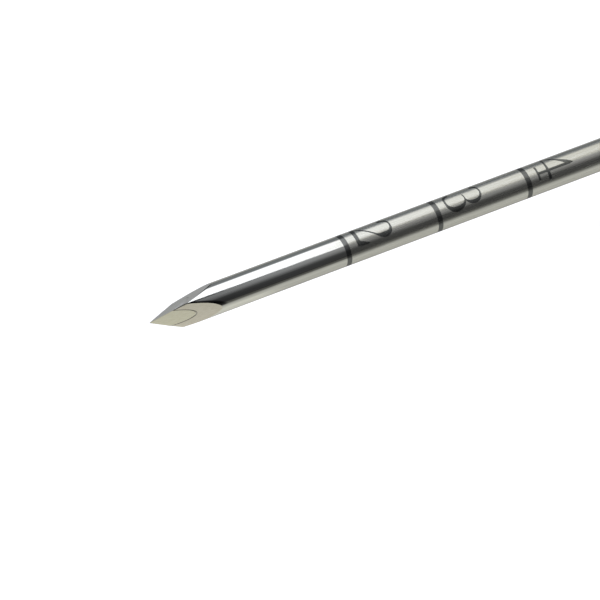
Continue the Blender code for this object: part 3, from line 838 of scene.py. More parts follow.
@dataclass(frozen=True)
class MouldedPlastic(Finish):
    """Hard plastic from a spark-eroded mould: a fine even texture, faint scuffs and grime at the joints.

    Attributes:
        colour: The plastic.
        scuffed: Its colour where it has rubbed.
        grime: What gathers in the joints.
        texture: How high the mould's texture stands, in millimetres.
        gloss: The roughness between the scuffs.
        parting: Where grime gathers, or None.
    """

    name: str = "shell_plastic"
    colour: Colour = (0.74, 0.755, 0.75)
    scuffed: Colour = (0.82, 0.825, 0.815)
    grime: Colour = (0.27, 0.27, 0.25)
    texture: float = 0.03
    gloss: float = 0.44
    parting: Parting | None = Parting.LEVEL

    def dress(self, graph: Graph, at: NeedlePlace) -> None:
        """Layers mottling, scuffs, grime and the mould's texture."""
        mottle = graph.noise(at.place, 0.12, 3.0, 0.6)
        slanted = graph.vector(at.station * 0.5 + at.y * 0.3, at.y * 2.6, at.z * 2.6)
        scratches = graph.noise(slanted, 1.0, 4.0, 0.7)
        scuffs = scratches.rise(0.60, 0.78) * mottle.rise(0.40, 0.62)
        colour = graph.blend(scuffs * 0.5, self.colour, self.scuffed)
        colour = graph.grained(0.10, colour, mottle)
        if self.parting:
            joint = abs(at.z) if self.parting is Parting.LEVEL else abs(at.station - PIN_STATION)
            dirt = joint.rise(0.75, 0.2) * (0.35 + mottle * 0.6)
            colour = graph.blend(dirt * 0.7, colour, self.grime)
        grain = graph.noise(at.place, 5.5, 2.0, 0.55)
        roughness = self.gloss + (grain - 0.5) * 0.22 - scuffs * 0.10
        graph.feed(Base_Color=colour, Roughness=roughness)
        graph.relief(grain, self.texture, 0.5)


@dataclass(frozen=True)
class GripRubber(Finish):
    """Soft moulded rubber: a pebbled skin, dusty on its ridges and rubbed smoother where the fingers pull.

    Attributes:
        colour: The rubber.
        dust: Pale dust caught by the skin.
    """

    name: str = "grip_rubber"
    colour: Colour = (0.050, 0.075, 0.105)
    dust: Colour = (0.20, 0.22, 0.24)

    def dress(self, graph: Graph, at: NeedlePlace) -> None:
        """Pebbles the skin with cells, and dusts it by noise; the front edge is rubbed smoother."""
        inputs = {"Vector": at.place, "Scale": 2.6, "Randomness": 1.0}
        cells = Wire(graph, graph.node("ShaderNodeTexVoronoi", {"feature": "F1"}, inputs).outputs["Distance"])
        fine = graph.noise(at.place, 8.0, 2.0)
        patches = graph.noise(at.place, 0.16, 4.0, 0.65)
        rubbed = at.station.rise(128.0, 122.5)
        dusty = patches.rise(0.42, 0.68) * (1.0 - rubbed * 0.7) * (0.35 + fine * 0.5)
        colour = graph.blend(dusty * 0.5, self.colour, self.dust)
        graph.feed(Base_Color=colour, Roughness=0.72 - rubbed * 0.16 + (fine - 0.5) * 0.2)
        graph.relief(1.0 - cells + fine * 0.3, 0.06, 0.6)


# The needle


def ridges() -> np.ndarray:
    """The angles of the three ridges, in order round the axis from FIRST_RIDGE."""
    meets = [facet.meets(after) for facet, after in zip(FACETS, (*FACETS[1:], FACETS[0]))]
    return FIRST_RIDGE + (np.array(meets) - FIRST_RIDGE + 1e-9) % (2 * math.pi)


def facet_slope(angles: np.ndarray, soft: float = 0.0) -> np.ndarray:
    """How far back the ground point lies for each unit of radius: the largest of the planes' slopes.

    Beside a soft ridge, the distance d from the ridge is replaced by the square root of d² + soft².

    Args:
        angles: Angles round the axis.
        soft: How far the ridges are rounded, in radians.

    Returns:
        The slope at each angle.
    """
    offsets = (angles[None, :] - ridges()[:, None] + math.pi) % (2 * math.pi) - math.pi
    nearest = np.abs(offsets).argmin(axis=0)
    offset = np.take_along_axis(offsets, nearest[None, :], axis=0)[0]
    side = np.where(offset < 0, -1.0, 1.0)
    moved = ridges()[nearest] + side * np.sqrt(offset**2 + soft**2)
    return np.max([facet.slope(moved) for facet in FACETS], axis=0)


def ridge_angles(soft: float) -> np.ndarray:
    """Angles round the axis that lie close together at the three ridges, which they include."""
    near = soft * np.array([0.0, 0.35, 0.7, 1.1, 1.6, 2.4, 3.6, 5.5])
    starts = ridges()
    turns = []
    for start, span in zip(starts, np.diff([*starts, starts[0] + 2 * math.pi])):
        half = np.concatenate([near, np.linspace(8.0 * soft, span / 2, 24)])
        turns.append(start + np.concatenate([half, span - half[-2:0:-1]]))
    return np.concatenate(turns)


@dataclass
class Stroke:
    """One stroke of a number: cubic curves whose width changes along them.

    Attributes:
        controls: Control points (across, up, half width) in millimetres; each curve starts where the
            one before ended, so there are 3 n + 1 of them.
    """

    controls: Sequence[Place]

    def path(self, steps: int) -> np.ndarray:
        """Points (across, up, half width) along the stroke, by the Bernstein form of each cubic.

        Args:
            steps: Points for each curve.

        Returns:
            An array of points by three.
        """
        controls = np.asarray(self.controls, float)
        t = np.linspace(0.0, 1.0, steps, endpoint=False)[:, None]
        weights = [(1 - t) ** 3, 3 * t * (1 - t) ** 2, 3 * t**2 * (1 - t), t**3]
        starts = range(0, len(controls) - 1, 3)
        curves = [sum(weight * controls[i + k] for k, weight in enumerate(weights)) for i in starts]
        return np.vstack([*curves, controls[-1:]])

    def slab(self, station: float, angle: float, width: float, stretch: float) -> Surface:
        """The stroke as a thin slab round the tube.

        A point (across, up) goes to the station plus up, and to the angle less (across less half the
        number's width) over the tube's radius. A ring runs across the slab's top and back under it.

        Args:
            station: Where the number's foot lies.
            angle: The angle of the number's middle.
            width: The number's width.
            stretch: What the heights are multiplied by.

        Returns:
            The closed slab.
        """
        path = self.path(28) * (1.0, stretch, 1.0)
        step = np.gradient(path[:, :2], axis=0)
        step /= np.hypot(step[:, 0], step[:, 1])[:, None]
        normal = np.stack([-step[:, 1], step[:, 0]], axis=1)
        spread = np.linspace(-1.0, 1.0, 5)
        flat = path[:, None, :2] + normal[:, None, :] * path[:, None, 2:] * spread[None, :, None]
        turn = angle - (flat[..., 0] - width / 2) / CANNULA_RADIUS
        top = around(station + flat[..., 1], CANNULA_RADIUS + NUMBER_PROUD, turn)
        bottom = around(station + flat[..., 1], CANNULA_RADIUS - NUMBER_SUNK, turn)[:, ::-1]
        return Surface(np.concatenate([top, bottom], axis=1), End.FLAT, (), (0, 4, 5, 9))


NUMBERS: dict[int, list[Stroke]] = {
    2: [
        Stroke([(0.3, 3.1, 0.2), (0.25, 3.75, 0.12), (0.7, 4.05, 0.09), (1.15, 4.05, 0.09),
                (1.75, 4.05, 0.12), (1.98, 3.65, 0.26), (1.95, 3.25, 0.28),
                (1.93, 2.85, 0.25), (1.85, 2.6, 0.13), (1.65, 2.35, 0.08)]),
        Stroke([(1.65, 2.35, 0.08), (1.2, 1.8, 0.08), (0.7, 1.2, 0.08), (0.1, 0.35, 0.08)]),
        Stroke([(0.0, 0.27, 0.2), (0.8, 0.27, 0.2), (1.6, 0.27, 0.19), (2.2, 0.27, 0.19)]),
        Stroke([(1.98, 0.35, 0.27), (2.05, 0.75, 0.2), (2.15, 1.1, 0.12), (2.2, 1.4, 0.03)]),
    ],
    3: [
        Stroke([(0.3, 0.85, 0.19), (0.25, 0.2, 0.13), (0.8, 0.08, 0.1), (1.2, 0.08, 0.1),
                (1.8, 0.1, 0.14), (2.16, 0.6, 0.26), (2.13, 1.15, 0.27),
                (2.09, 1.75, 0.2), (1.75, 2.15, 0.09), (1.4, 2.2, 0.06)]),
        Stroke([(1.4, 2.2, 0.06), (1.2, 2.2, 0.06), (1.0, 2.18, 0.06), (0.85, 2.12, 0.07)]),
        Stroke([(1.4, 2.2, 0.06), (1.8, 2.3, 0.1), (1.98, 2.7, 0.18), (1.98, 3.12, 0.19),
                (1.98, 3.6, 0.17), (1.65, 3.98, 0.09), (1.15, 3.98, 0.08),
                (0.7, 3.98, 0.08), (0.3, 3.8, 0.12), (0.3, 3.3, 0.18)]),
    ],
    4: [
        Stroke([(1.66, 0.2, 0.13), (1.66, 1.4, 0.13), (1.66, 2.8, 0.13), (1.66, 3.9, 0.13)]),
        Stroke([(0.85, 0.2, 0.1), (1.4, 0.2, 0.1), (1.9, 0.2, 0.1), (2.36, 0.2, 0.1)]),
        Stroke([(0.0, 1.36, 0.08), (0.8, 1.36, 0.09), (1.7, 1.36, 0.15), (2.66, 1.36, 0.15)]),
        Stroke([(1.7, 4.24, 0.01), (1.66, 4.05, 0.11), (1.6, 3.85, 0.2), (1.46, 3.6, 0.2),
                (1.25, 3.3, 0.14), (0.8, 2.6, 0.06), (0.02, 1.45, 0.06)]),
    ],
    5: [
        Stroke([(0.5, 3.85, 0.17), (1.0, 3.85, 0.17), (1.6, 3.85, 0.17), (2.05, 3.98, 0.06)]),
        Stroke([(0.58, 3.9, 0.08), (0.52, 3.3, 0.08), (0.46, 2.7, 0.08), (0.42, 2.15, 0.08)]),
        Stroke([(0.42, 2.2, 0.07), (0.9, 2.75, 0.1), (2.05, 2.6, 0.22), (2.05, 1.35, 0.27),
                (2.05, 0.5, 0.25), (1.5, 0.08, 0.1), (1.0, 0.08, 0.09),
                (0.55, 0.08, 0.09), (0.28, 0.3, 0.15), (0.28, 0.75, 0.2)]),
    ],
    6: [
        Stroke([(1.95, 3.75, 0.13), (1.1, 4.15, 0.1), (0.3, 3.1, 0.22), (0.28, 1.6, 0.27),
                (0.28, 0.6, 0.24), (0.65, 0.08, 0.1), (1.18, 0.08, 0.09),
                (1.75, 0.08, 0.1), (2.05, 0.6, 0.24), (2.05, 1.2, 0.27),
                (2.05, 1.9, 0.22), (1.7, 2.35, 0.1), (1.2, 2.35, 0.08),
                (0.8, 2.35, 0.08), (0.5, 2.1, 0.08), (0.36, 1.6, 0.08)]),
    ],
    7: [
        Stroke([(0.15, 3.87, 0.17), (0.8, 3.87, 0.17), (1.5, 3.87, 0.17), (2.2, 3.92, 0.12)]),
        Stroke([(0.2, 3.8, 0.12), (0.18, 3.6, 0.09), (0.14, 3.3, 0.05), (0.12, 3.1, 0.02)]),
        Stroke([(2.12, 3.85, 0.1), (1.6, 2.8, 0.14), (1.0, 1.8, 0.22), (0.95, 0.12, 0.25)]),
    ],
    8: [
        Stroke([(1.15, 0.08, 0.09), (0.5, 0.08, 0.1), (0.25, 0.5, 0.22), (0.25, 1.05, 0.24),
                (0.25, 1.6, 0.22), (0.7, 2.05, 0.1), (1.15, 2.2, 0.1),
                (1.6, 2.35, 0.1), (1.9, 2.7, 0.18), (1.9, 3.15, 0.19),
                (1.9, 3.65, 0.17), (1.6, 4.05, 0.09), (1.15, 4.05, 0.08),
                (0.7, 4.05, 0.09), (0.4, 3.65, 0.17), (0.4, 3.2, 0.19),
                (0.4, 2.75, 0.18), (0.7, 2.45, 0.12), (1.15, 2.2, 0.1),
                (1.7, 1.95, 0.12), (2.08, 1.6, 0.24), (2.08, 1.05, 0.27),
                (2.08, 0.5, 0.24), (1.75, 0.08, 0.1), (1.15, 0.08, 0.09)]),
    ],
    9: [
        Stroke([(0.35, 0.35, 0.13), (1.2, -0.05, 0.1), (2.0, 1.0, 0.22), (2.02, 2.5, 0.27),
                (2.02, 3.5, 0.24), (1.65, 4.02, 0.1), (1.12, 4.02, 0.09),
                (0.55, 4.02, 0.1), (0.25, 3.5, 0.24), (0.25, 2.9, 0.27),
                (0.25, 2.2, 0.22), (0.6, 1.75, 0.1), (1.1, 1.75, 0.08),
                (1.5, 1.75, 0.08), (1.8, 2.0, 0.08), (1.94, 2.5, 0.08)]),
    ],
}


@dataclass
class Cannula:
    """The tube with its ground point, its depth marks and their numbers.

    Attributes:
        ridge_softness: How far the ridges between the facets are rounded, in radians.
        rolled_width: How wide the rolled edge round the facets is.
        number_width: How far a number reaches round the tube.
        number_stretch: What its height is multiplied by.
        number_start: From a mark's middle to its foot.
        number_angle: Where its middle lies round the axis.
        finish: The tube's steel.
        etching: The numbers' finish.
    """

    ridge_softness: float = 0.014
    rolled_width: float = 0.15
    number_width: float = 2.3
    number_stretch: float = 0.972
    number_start: float = 1.04
    number_angle: float = math.radians(-12.0)
    finish: Finish = field(default_factory=NeedleSteel)
    etching: Finish = field(default_factory=EtchedMark)

    def tube(self) -> Surface:
        """The tube's surface.

        The bore's rim and the outer rim are at slope × r, and the rings between them lie in the facets.
        Polishing has rolled the outer rim: over a width w, at a distance p from the rim, the radius is
        the tube's less drop × (1 - p / w)². Where the rim runs at a slant, p is the distance along the
        axis over the square root of 1 + (change of slope with the angle)².

        Returns:
            One surface from the bore's rim over the point, the side and the far end, and back.
        """
        angles = ridge_angles(self.ridge_softness)
        slope = facet_slope(angles, self.ridge_softness)
        shares = np.array([0.0, 0.03, 0.2, 0.4, 0.6, 0.8, 0.97, 1.0])[:, None]
        radii = BORE_RADIUS + (RIM_RADIUS - BORE_RADIUS) * shares
        face = around(slope * radii - POINT_REACH, radii, angles)
        slant = np.hypot(1.0, np.gradient(slope, angles))
        share = np.linspace(0.0, 1.0, 9)[1:, None]
        stations = slope * RIM_RADIUS - POINT_REACH + share * self.rolled_width * slant
        drop = (CANNULA_RADIUS - RIM_RADIUS) * (1 - share) ** 2
        rolled = around(stations, CANNULA_RADIUS - drop, angles)
        side = around(np.array([9.0, 20.0, 60.0, 100.0, CANNULA_END - 0.1])[:, None], CANNULA_RADIUS, angles)
        end = around(CANNULA_END, np.array([[CANNULA_RADIUS], [BORE_RADIUS]]), angles)
        bore = around(np.array([[100.0], [20.0]]), BORE_RADIUS, angles)
        mouth = around(slope[None, :] * BORE_RADIUS - POINT_REACH + 0.05, BORE_RADIUS, angles)
        rings = np.concatenate([face, rolled, side, end, bore, mouth])
        far = len(face) + len(rolled) + len(side)
        return Surface(rings, End.JOINED, (0, len(face) - 1, far, far + 1))

    def numbers(self) -> list[Surface]:
        """The strokes of the numbers 2 to 9, each after its mark."""
        made = []
        for count, strokes in enumerate(NUMBERS.values()):
            foot = FIRST_MARK + count * MARK_PITCH + self.number_start
            place = (foot, self.number_angle, self.number_width, self.number_stretch)
            made += [stroke.slab(*place) for stroke in strokes]
        return made

    def build(self) -> None:
        """Adds the tube in place of its CAD node, and the numbers on it."""
        steel, etching = self.finish.build(), self.etching.build()
        add_piece("cannula_tube", [self.tube()], steel, Body.HANDLE, "cannula")
        add_piece("depth_numbers", self.numbers(), etching, Body.HANDLE)


@dataclass
class Stylet:
    """The solid rod, whose facets lie in the planes of the cannula's.

    Attributes:
        radius: The rod's radius.
        end: The station of its far end.
        finish: Its steel.
    """

    radius: float = 0.966
    end: float = 162.42
    # The stylet's front facet gets its own lighter painted-reflection colour.
    finish: Finish = field(
        default_factory=lambda: NeedleSteel("stylet_steel", warm=(0.612, 0.590, 0.458), tube=False)
    )

    def rod(self) -> Surface:
        """The rod: rings at slope × r on the facets, then straight back at the rod's radius."""
        angles = ridge_angles(0.03)
        slope = facet_slope(angles)
        radii = self.radius * np.array([0.002, 0.1, 0.3, 0.55, 0.8, 0.97, 1.0])[:, None]
        face = around(slope * radii - POINT_REACH, radii, angles)
        near = around(slope[None, :] * self.radius - POINT_REACH + 0.03, self.radius, angles)
        side = around(np.array([10.0, 60.0, 120.0, self.end - 0.1, self.end])[:, None], self.radius, angles)
        edges = tuple(np.arange(3) * (len(angles) // 3))
        rings = np.concatenate([face, near, side])
        return Surface(rings, End.POINT, (len(face) - 1, len(rings) - 1), edges, len(face) - 1)

    def build(self) -> None:
        """Adds the rod in place of its CAD node."""
        add_piece("stylet_rod", [self.rod()], self.finish.build(), Body.STYLET, "stylet")


# The handle


@dataclass(frozen=True)
class HandleForm:
    """The T-handle's outer form, which its shells and grip sleeves share.

    Attributes:
        span: From wing end to wing end.
        edge: The radius of the edge all round.
        wall: Half the height of the upright wall between the edges.
        half_outline: One side's corners as (station, y, radius), from the nose to the palm.
    """

    span: float = 80.0
    edge: float = 5.5
    wall: float = 3.0
    half_outline: tuple[Place, ...] = (
        (106.0, 7.5, 6.7), (122.0, 9.5, 9.0), (123.0, 40.0, 8.0), (140.0, 40.0, 8.0), (143.0, 12.0, 30.0)
    )

    def corners(self) -> list[Place]:
        """The whole outline's corners seen from above."""
        return [(s, -y, radius) for s, y, radius in self.half_outline] + list(self.half_outline[::-1])

    def chord(self, y: np.ndarray, inset: np.ndarray) -> list[np.ndarray]:
        """The wing's front and back stations, for the form drawn in by an inset.

        Each edge is a straight line moved in by the inset. Past the point where the end's arc touches
        it, the edge is the arc's centre ± the square root of (radius - inset)² - (y - centre's y)².

        Args:
            y: Distances from the needle's axis.
            inset: How far the form is drawn in.

        Returns:
            The front stations, then the back stations.
        """
        _, root_front, end_front, end_back, root_back = self.half_outline
        edges = []
        for root, end, side in ((root_front, end_front, -1.0), (root_back, end_back, 1.0)):
            slope = (end[0] - root[0]) / (end[1] - root[1])
            secant = math.hypot(1.0, slope)
            room = end[2] - inset
            arc_y = end[1] - end[2]
            arc_station = root[0] + slope * (arc_y - root[1]) - side * end[2] * secant
            arc = arc_station + side * np.sqrt(np.maximum(room**2 - (y - arc_y) ** 2, 0.0))
            line = root[0] + slope * (y - root[1]) - side * inset * secant
            edges.append(np.where(y > arc_y - side * slope / secant * room, arc, line))
        return edges

    def loops(self, y: np.ndarray, depth: np.ndarray, side: float) -> np.ndarray:
        """Loops round a wing, each at one distance from the needle's axis.

        On the form that lies a depth under the surface, the edge is a quarter circle of size edge -
        depth: inset = edge - size × cos a and height = wall + size × sin a. The angle a goes from 0 to
        where the inset meets the wing's end, and a flat face joins the front edge to the back one.

        Args:
            y: The distances, one for each loop.
            depth: How far under the surface each loop lies.
            side: -1 for the left wing and 1 for the right.

        Returns:
            Points, loops by places by three.
        """
        size = self.edge - depth
        top = np.arccos(np.clip((self.edge - (self.span / 2 - y)) / size, 0.0, 1.0))
        angles = top[:, None] * np.linspace(0.0, 1.0, 15)[None, :]
        inset = self.edge - size[:, None] * np.cos(angles)
        height = self.wall + size[:, None] * np.sin(angles)
        front, back = self.chord(y[:, None], inset)
        share = np.linspace(0.0, 1.0, 8)[None, 1:-1]
        face = front[:, -1:] + (back[:, -1:] - front[:, -1:]) * share
        level = np.repeat(height[:, -1:], face.shape[1], axis=1)
        stations = np.concatenate([front, face, back[:, ::-1]], axis=1)
        heights = np.concatenate([height, level, height[:, ::-1]], axis=1)
        stations = np.concatenate([stations, stations[:, ::-1]], axis=1)
        heights = np.concatenate([heights, -heights[:, ::-1]], axis=1)
        return np.stack([stations, np.repeat(side * y[:, None], stations.shape[1], axis=1), heights], axis=-1)

    def cup(
        self,
        outer: np.ndarray,
        outer_depth: np.ndarray | float,
        inner: np.ndarray,
        inner_depth: float,
        side: float,
    ) -> Surface:
        """A cup over a wing's end, with a flat face outside and inside, and a crisp rim.

        Args:
            outer: Distances of the outer loops, from the wing's end to the rim.
            outer_depth: How far under the form they lie.
            inner: Distances of the inner loops, from the rim to the floor.
            inner_depth: How far under the form they lie.
            side: -1 for the left wing and 1 for the right.

        Returns:
            The closed surface.
        """
        depths = [np.broadcast_to(depth, len(y)) for y, depth in ((outer, outer_depth), (inner, inner_depth))]
        rings = self.loops(np.concatenate([outer, inner]), np.concatenate(depths), side)
        return Surface(rings, End.FLAT, (len(outer) - 1, len(outer)))


def wing_end_stops(reach: float, edge: float, count: int) -> np.ndarray:
    """Distances from the axis that follow the rounded end: reach - edge × (1 - cos a), a being 1 to 90°."""
    angles = np.radians(np.linspace(1.0, 90.0, count))
    return reach - edge * (1 - np.cos(angles))


@dataclass
class HandleShells:
    """The two halves of the handle, with pockets for all that they clamp.

    Attributes:
        screws: The screws, whose holes are cut.
        form: The handle's outer form.
        split: Half the gap between the halves.
        neck_depth: How far the wings are necked under the grip sleeves.
        neck_start: Where the necks start.
        finish: The shells' plastic.
    """

    screws: Sequence["CapScrew"]
    form: HandleForm = HandleForm()
    split: float = 0.15
    neck_depth: float = 2.25
    neck_start: float = 21.0
    finish: Finish = field(default_factory=MouldedPlastic)

    def half(self, side: float) -> Surface:
        """One half before it is cut.

        The edge is a quarter circle, as the form's is. Under it the rim at the split is softened, and
        one more layer lies within the flat face.

        Args:
            side: 1 for the upper half and -1 for the lower.

        Returns:
            The surface.
        """
        rim = [(self.split, 0.2), (self.split, 0.16), (self.split + 0.05, 0.05), (self.split + 0.16, 0.0)]
        angles = np.radians(np.linspace(0.0, 90.0, 19))
        wall, edge = self.form.wall, self.form.edge
        round_edge = np.stack([wall + edge * np.sin(angles), edge * (1 - np.cos(angles))], axis=1)
        layers = np.vstack([rim, [(wall - 0.4, 0.0)], round_edge, [(wall + edge, edge + 0.3)]])
        return pillow(self.form.corners(), layers * (side, 1.0), Way.UP)

    def neck_space(self, side: float) -> Surface:
        """What the grip sleeve takes from a wing."""
        outer = np.append(wing_end_stops(40.99, 6.5, 12), self.neck_start)
        end = self.form.span / 2 - self.neck_depth
        inner = np.append(wing_end_stops(end, self.form.edge - self.neck_depth, 12), self.neck_start)[::-1]
        return self.form.cup(outer, -1.0, inner, self.neck_depth, side)

    @staticmethod
    def hub_pocket() -> Surface:
        """The room for the nose sleeve and the cannula hub, with its mouths eased."""
        profile = [
            (100.0, 0.05), (100.0, 4.6), (106.0, 4.6), (106.35, 4.25), (109.75, 4.25), (109.75, 5.25),
            (112.25, 5.25), (112.25, 3.55), (132.5, 3.55), (132.5, 5.75), (137.28, 5.75), (137.28, 3.25),
            (142.7, 3.25), (143.05, 3.6), (150.0, 3.6), (150.0, 0.05),
        ]
        return turned(profile, ROOM_COLUMNS, End.POINT)

    @staticmethod
    def crossbar_pocket() -> Surface:
        """The room for the crossbar: a block 3.5 × 52.5 × 9.5 with its corners eased."""
        corners = [(130.75, -26.25, 0.3), (134.25, -26.25, 0.3), (134.25, 26.25, 0.3), (130.75, 26.25, 0.3)]
        return pillow(corners, [(-4.75, 0.0), (4.75, 0.0)], Way.UP)

    def build(self) -> None:
        """Adds both halves in place of their CAD nodes."""
        spaces = [self.neck_space(-1.0), self.neck_space(1.0), self.hub_pocket(), self.crossbar_pocket()]
        cutters = [*([space] for space in spaces), [screw.hole() for screw in self.screws]]
        material = self.finish.build()
        for name, side in (("upper", 1.0), ("lower", -1.0)):
            mesh = carved(f"{name}_shell", [self.half(side)], cutters)
            add_piece(f"{name}_shell", mesh, material, Body.HANDLE, f"handle_{name}_shell")


@dataclass
class GripSleeves:
    """The rubber sleeves over the wings, with a row of rounded grooves round each.

    Attributes:
        form: The handle's outer form.
        start: Where a sleeve's rim stands.
        wall: Its thickness.
        first_groove: The first groove's middle.
        pitch: From groove to groove.
        grooves: How many there are.
        groove_width: A groove's width half-way down.
        groove_depth: Its depth.
        soft: Half the width of its rounded sides.
        rim: The radius of the rim's rounded edge.
        finish: The sleeves' rubber.
    """

    form: HandleForm = HandleForm()
    start: float = 21.25
    wall: float = 2.0
    first_groove: float = 24.398
    pitch: float = 2.601
    grooves: int = 5
    groove_width: float = 1.196
    groove_depth: float = 0.6
    soft: float = 0.2
    rim: float = 0.3
    finish: Finish = field(default_factory=GripRubber)

    def outer_stops(self) -> np.ndarray:
        """Distances of the outer loops, close together at the rim, the grooves' sides and the end."""
        middles = self.first_groove + self.pitch * np.arange(self.grooves)
        sides = self.groove_width / 2 + self.soft * np.linspace(-1.0, 1.0, 9)
        near = (middles[:, None, None] + np.array([[-1.0], [1.0]]) * sides).ravel()
        rim = self.start + self.rim * (1 - np.cos(np.radians(np.linspace(0.0, 90.0, 6))))
        end = wing_end_stops(self.form.span / 2, self.form.edge, 34)
        stops = np.concatenate([near, rim, end, middles, middles[:-1] + self.pitch / 2])
        return np.unique(np.round(stops, 3))[::-1]

    def depth(self, y: np.ndarray) -> np.ndarray:
        """How far the surface is drawn in: smooth steps at the grooves, and a quarter circle at the rim."""
        phase = (y - self.first_groove + self.pitch / 2) % self.pitch - self.pitch / 2
        last = self.first_groove + self.pitch * (self.grooves - 0.5)
        inside = (y > self.first_groove - self.pitch / 2) & (y < last)
        share = np.clip((self.groove_width / 2 + self.soft - np.abs(phase)) / (2 * self.soft), 0.0, 1.0)
        groove = self.groove_depth * share**2 * (3 - 2 * share) * inside
        share = np.clip(1 - (y - self.start) / self.rim, 0.0, 1.0)
        return groove + self.rim * (1 - np.sqrt(1 - share**2))

    def build(self) -> None:
        """Adds both sleeves in place of their CAD nodes."""
        outer = self.outer_stops()
        end = self.form.span / 2 - self.wall
        inner = np.append(wing_end_stops(end, self.form.edge - self.wall, 16), [28.0, self.start])[::-1]
        material = self.finish.build()
        for name, side in (("left", -1.0), ("right", 1.0)):
            cup = self.form.cup(outer, self.depth(outer), inner, self.wall, side)
            add_piece(f"{name}_grip", [cup], material, Body.HANDLE, f"grip_sleeve_{name}")


# Turned pieces and fasteners


@dataclass(frozen=True)
class CapScrew:
    """A socket-head screw.

    Attributes:
        node: The CAD node it stands for.
        body: The body it rides on.
        place: The middle of its head's outer face.
        way: The way it points.
        shank: Its shank's length.
        head_radius: Its head's radius.
        head_length: Its head's length.
        shank_radius: Its thread's outer radius.
        flat: Half its socket's width across flats.
        socket_depth: Its socket's depth.
        pitch: From thread to thread.
        thread_depth: Its thread's depth.
    """

    node: str
    body: Body
    place: Place
    way: Way
    shank: float
    head_radius: float = 2.3
    head_length: float = 2.0
    shank_radius: float = 1.25
    flat: float = 0.75
    socket_depth: float = 1.2
    pitch: float = 0.45
    thread_depth: float = 0.25

    def surface(self) -> Surface:
        """The screw, from its socket's floor over the head and down the thread.

        The socket's radius at an angle t is flat / cos(t - the middle of the nearest flat). The
        thread's is shank radius - depth × |2 f - 1|, f being the fraction left of h / pitch - t / turn.

        Returns:
            The surface, pointed at both ends.
        """
        angles = full_turn(SCREW_COLUMNS)
        sixth = math.pi / 3
        socket = self.flat / np.cos((angles + sixth / 2) % sixth - sixth / 2)
        head_end, tip = self.head_length, self.head_length + self.shank
        corners = [
            (0.0, 1.05), (0.0, self.head_radius), (head_end, self.head_radius), (head_end, self.shank_radius),
            (head_end + 0.3, self.shank_radius),
        ]
        head = eased(corners, 0.22, False)
        rows = np.arange(head_end + 0.35, tip - 0.35, self.pitch / 6)[:, None]
        turns = rows / self.pitch - angles / (2 * math.pi)
        fade = np.clip(np.minimum(rows - rows[0], rows[-1] - rows) / self.pitch, 0.0, 1.0)
        thread = self.shank_radius - self.thread_depth * fade * np.abs(2 * (turns % 1.0) - 1)
        sections = [
            (np.array([[self.socket_depth]]), 0.3 * socket),
            (np.array([[self.socket_depth], [0.06]]), socket),
            (head[:, :1], head[:, 1:]),
            (rows, thread),
            (np.array([[tip - 0.3], [tip]]), np.array([[self.shank_radius], [0.95]])),
        ]
        rings = np.concatenate([around(s, r, angles, self.way, self.place) for s, r in sections])
        return Surface(rings, End.POINT, (1, 2, 3), range(4, SCREW_COLUMNS, 8), 2)

    def hole(self) -> Surface:
        """The stepped hole it needs, with its mouth eased."""
        floor = self.head_length + self.shank + 0.25
        profile = [
            (-3.0, 0.05), (-3.0, 3.0), (-0.6, 3.0), (-0.15, 2.55), (2.25, 2.55), (2.25, 1.5),
            (floor, 1.5), (floor, 0.05),
        ]
        return turned(profile, SCREW_COLUMNS, End.POINT, self.way, self.place)

    def build(self, material: Material) -> None:
        """Adds the screw in place of its CAD node, with the shared screw steel."""
        add_piece(f"{self.node}_threaded", [self.surface()], material, self.body, self.node)


@dataclass
class NoseSleeve:
    """The turned cone that steadies the tube where it leaves the handle.

    Attributes:
        profile: Its section as (station, radius).
        finish: Its steel.
    """

    profile: Profile = (
        (100.0, 1.555), (100.0, 2.6), (106.0, 4.0), (110.0, 4.0), (110.0, 5.0), (112.0, 5.0), (112.0, 1.555)
    )
    finish: Finish = field(default_factory=TurnedSteel)

    def build(self) -> None:
        """Adds the sleeve in place of its CAD node."""
        shape = turned(eased(self.profile, 0.25, True), TURNED_COLUMNS, End.JOINED)
        add_piece("nose_cone", [shape], self.finish.build(), Body.HANDLE, "nose_sleeve")


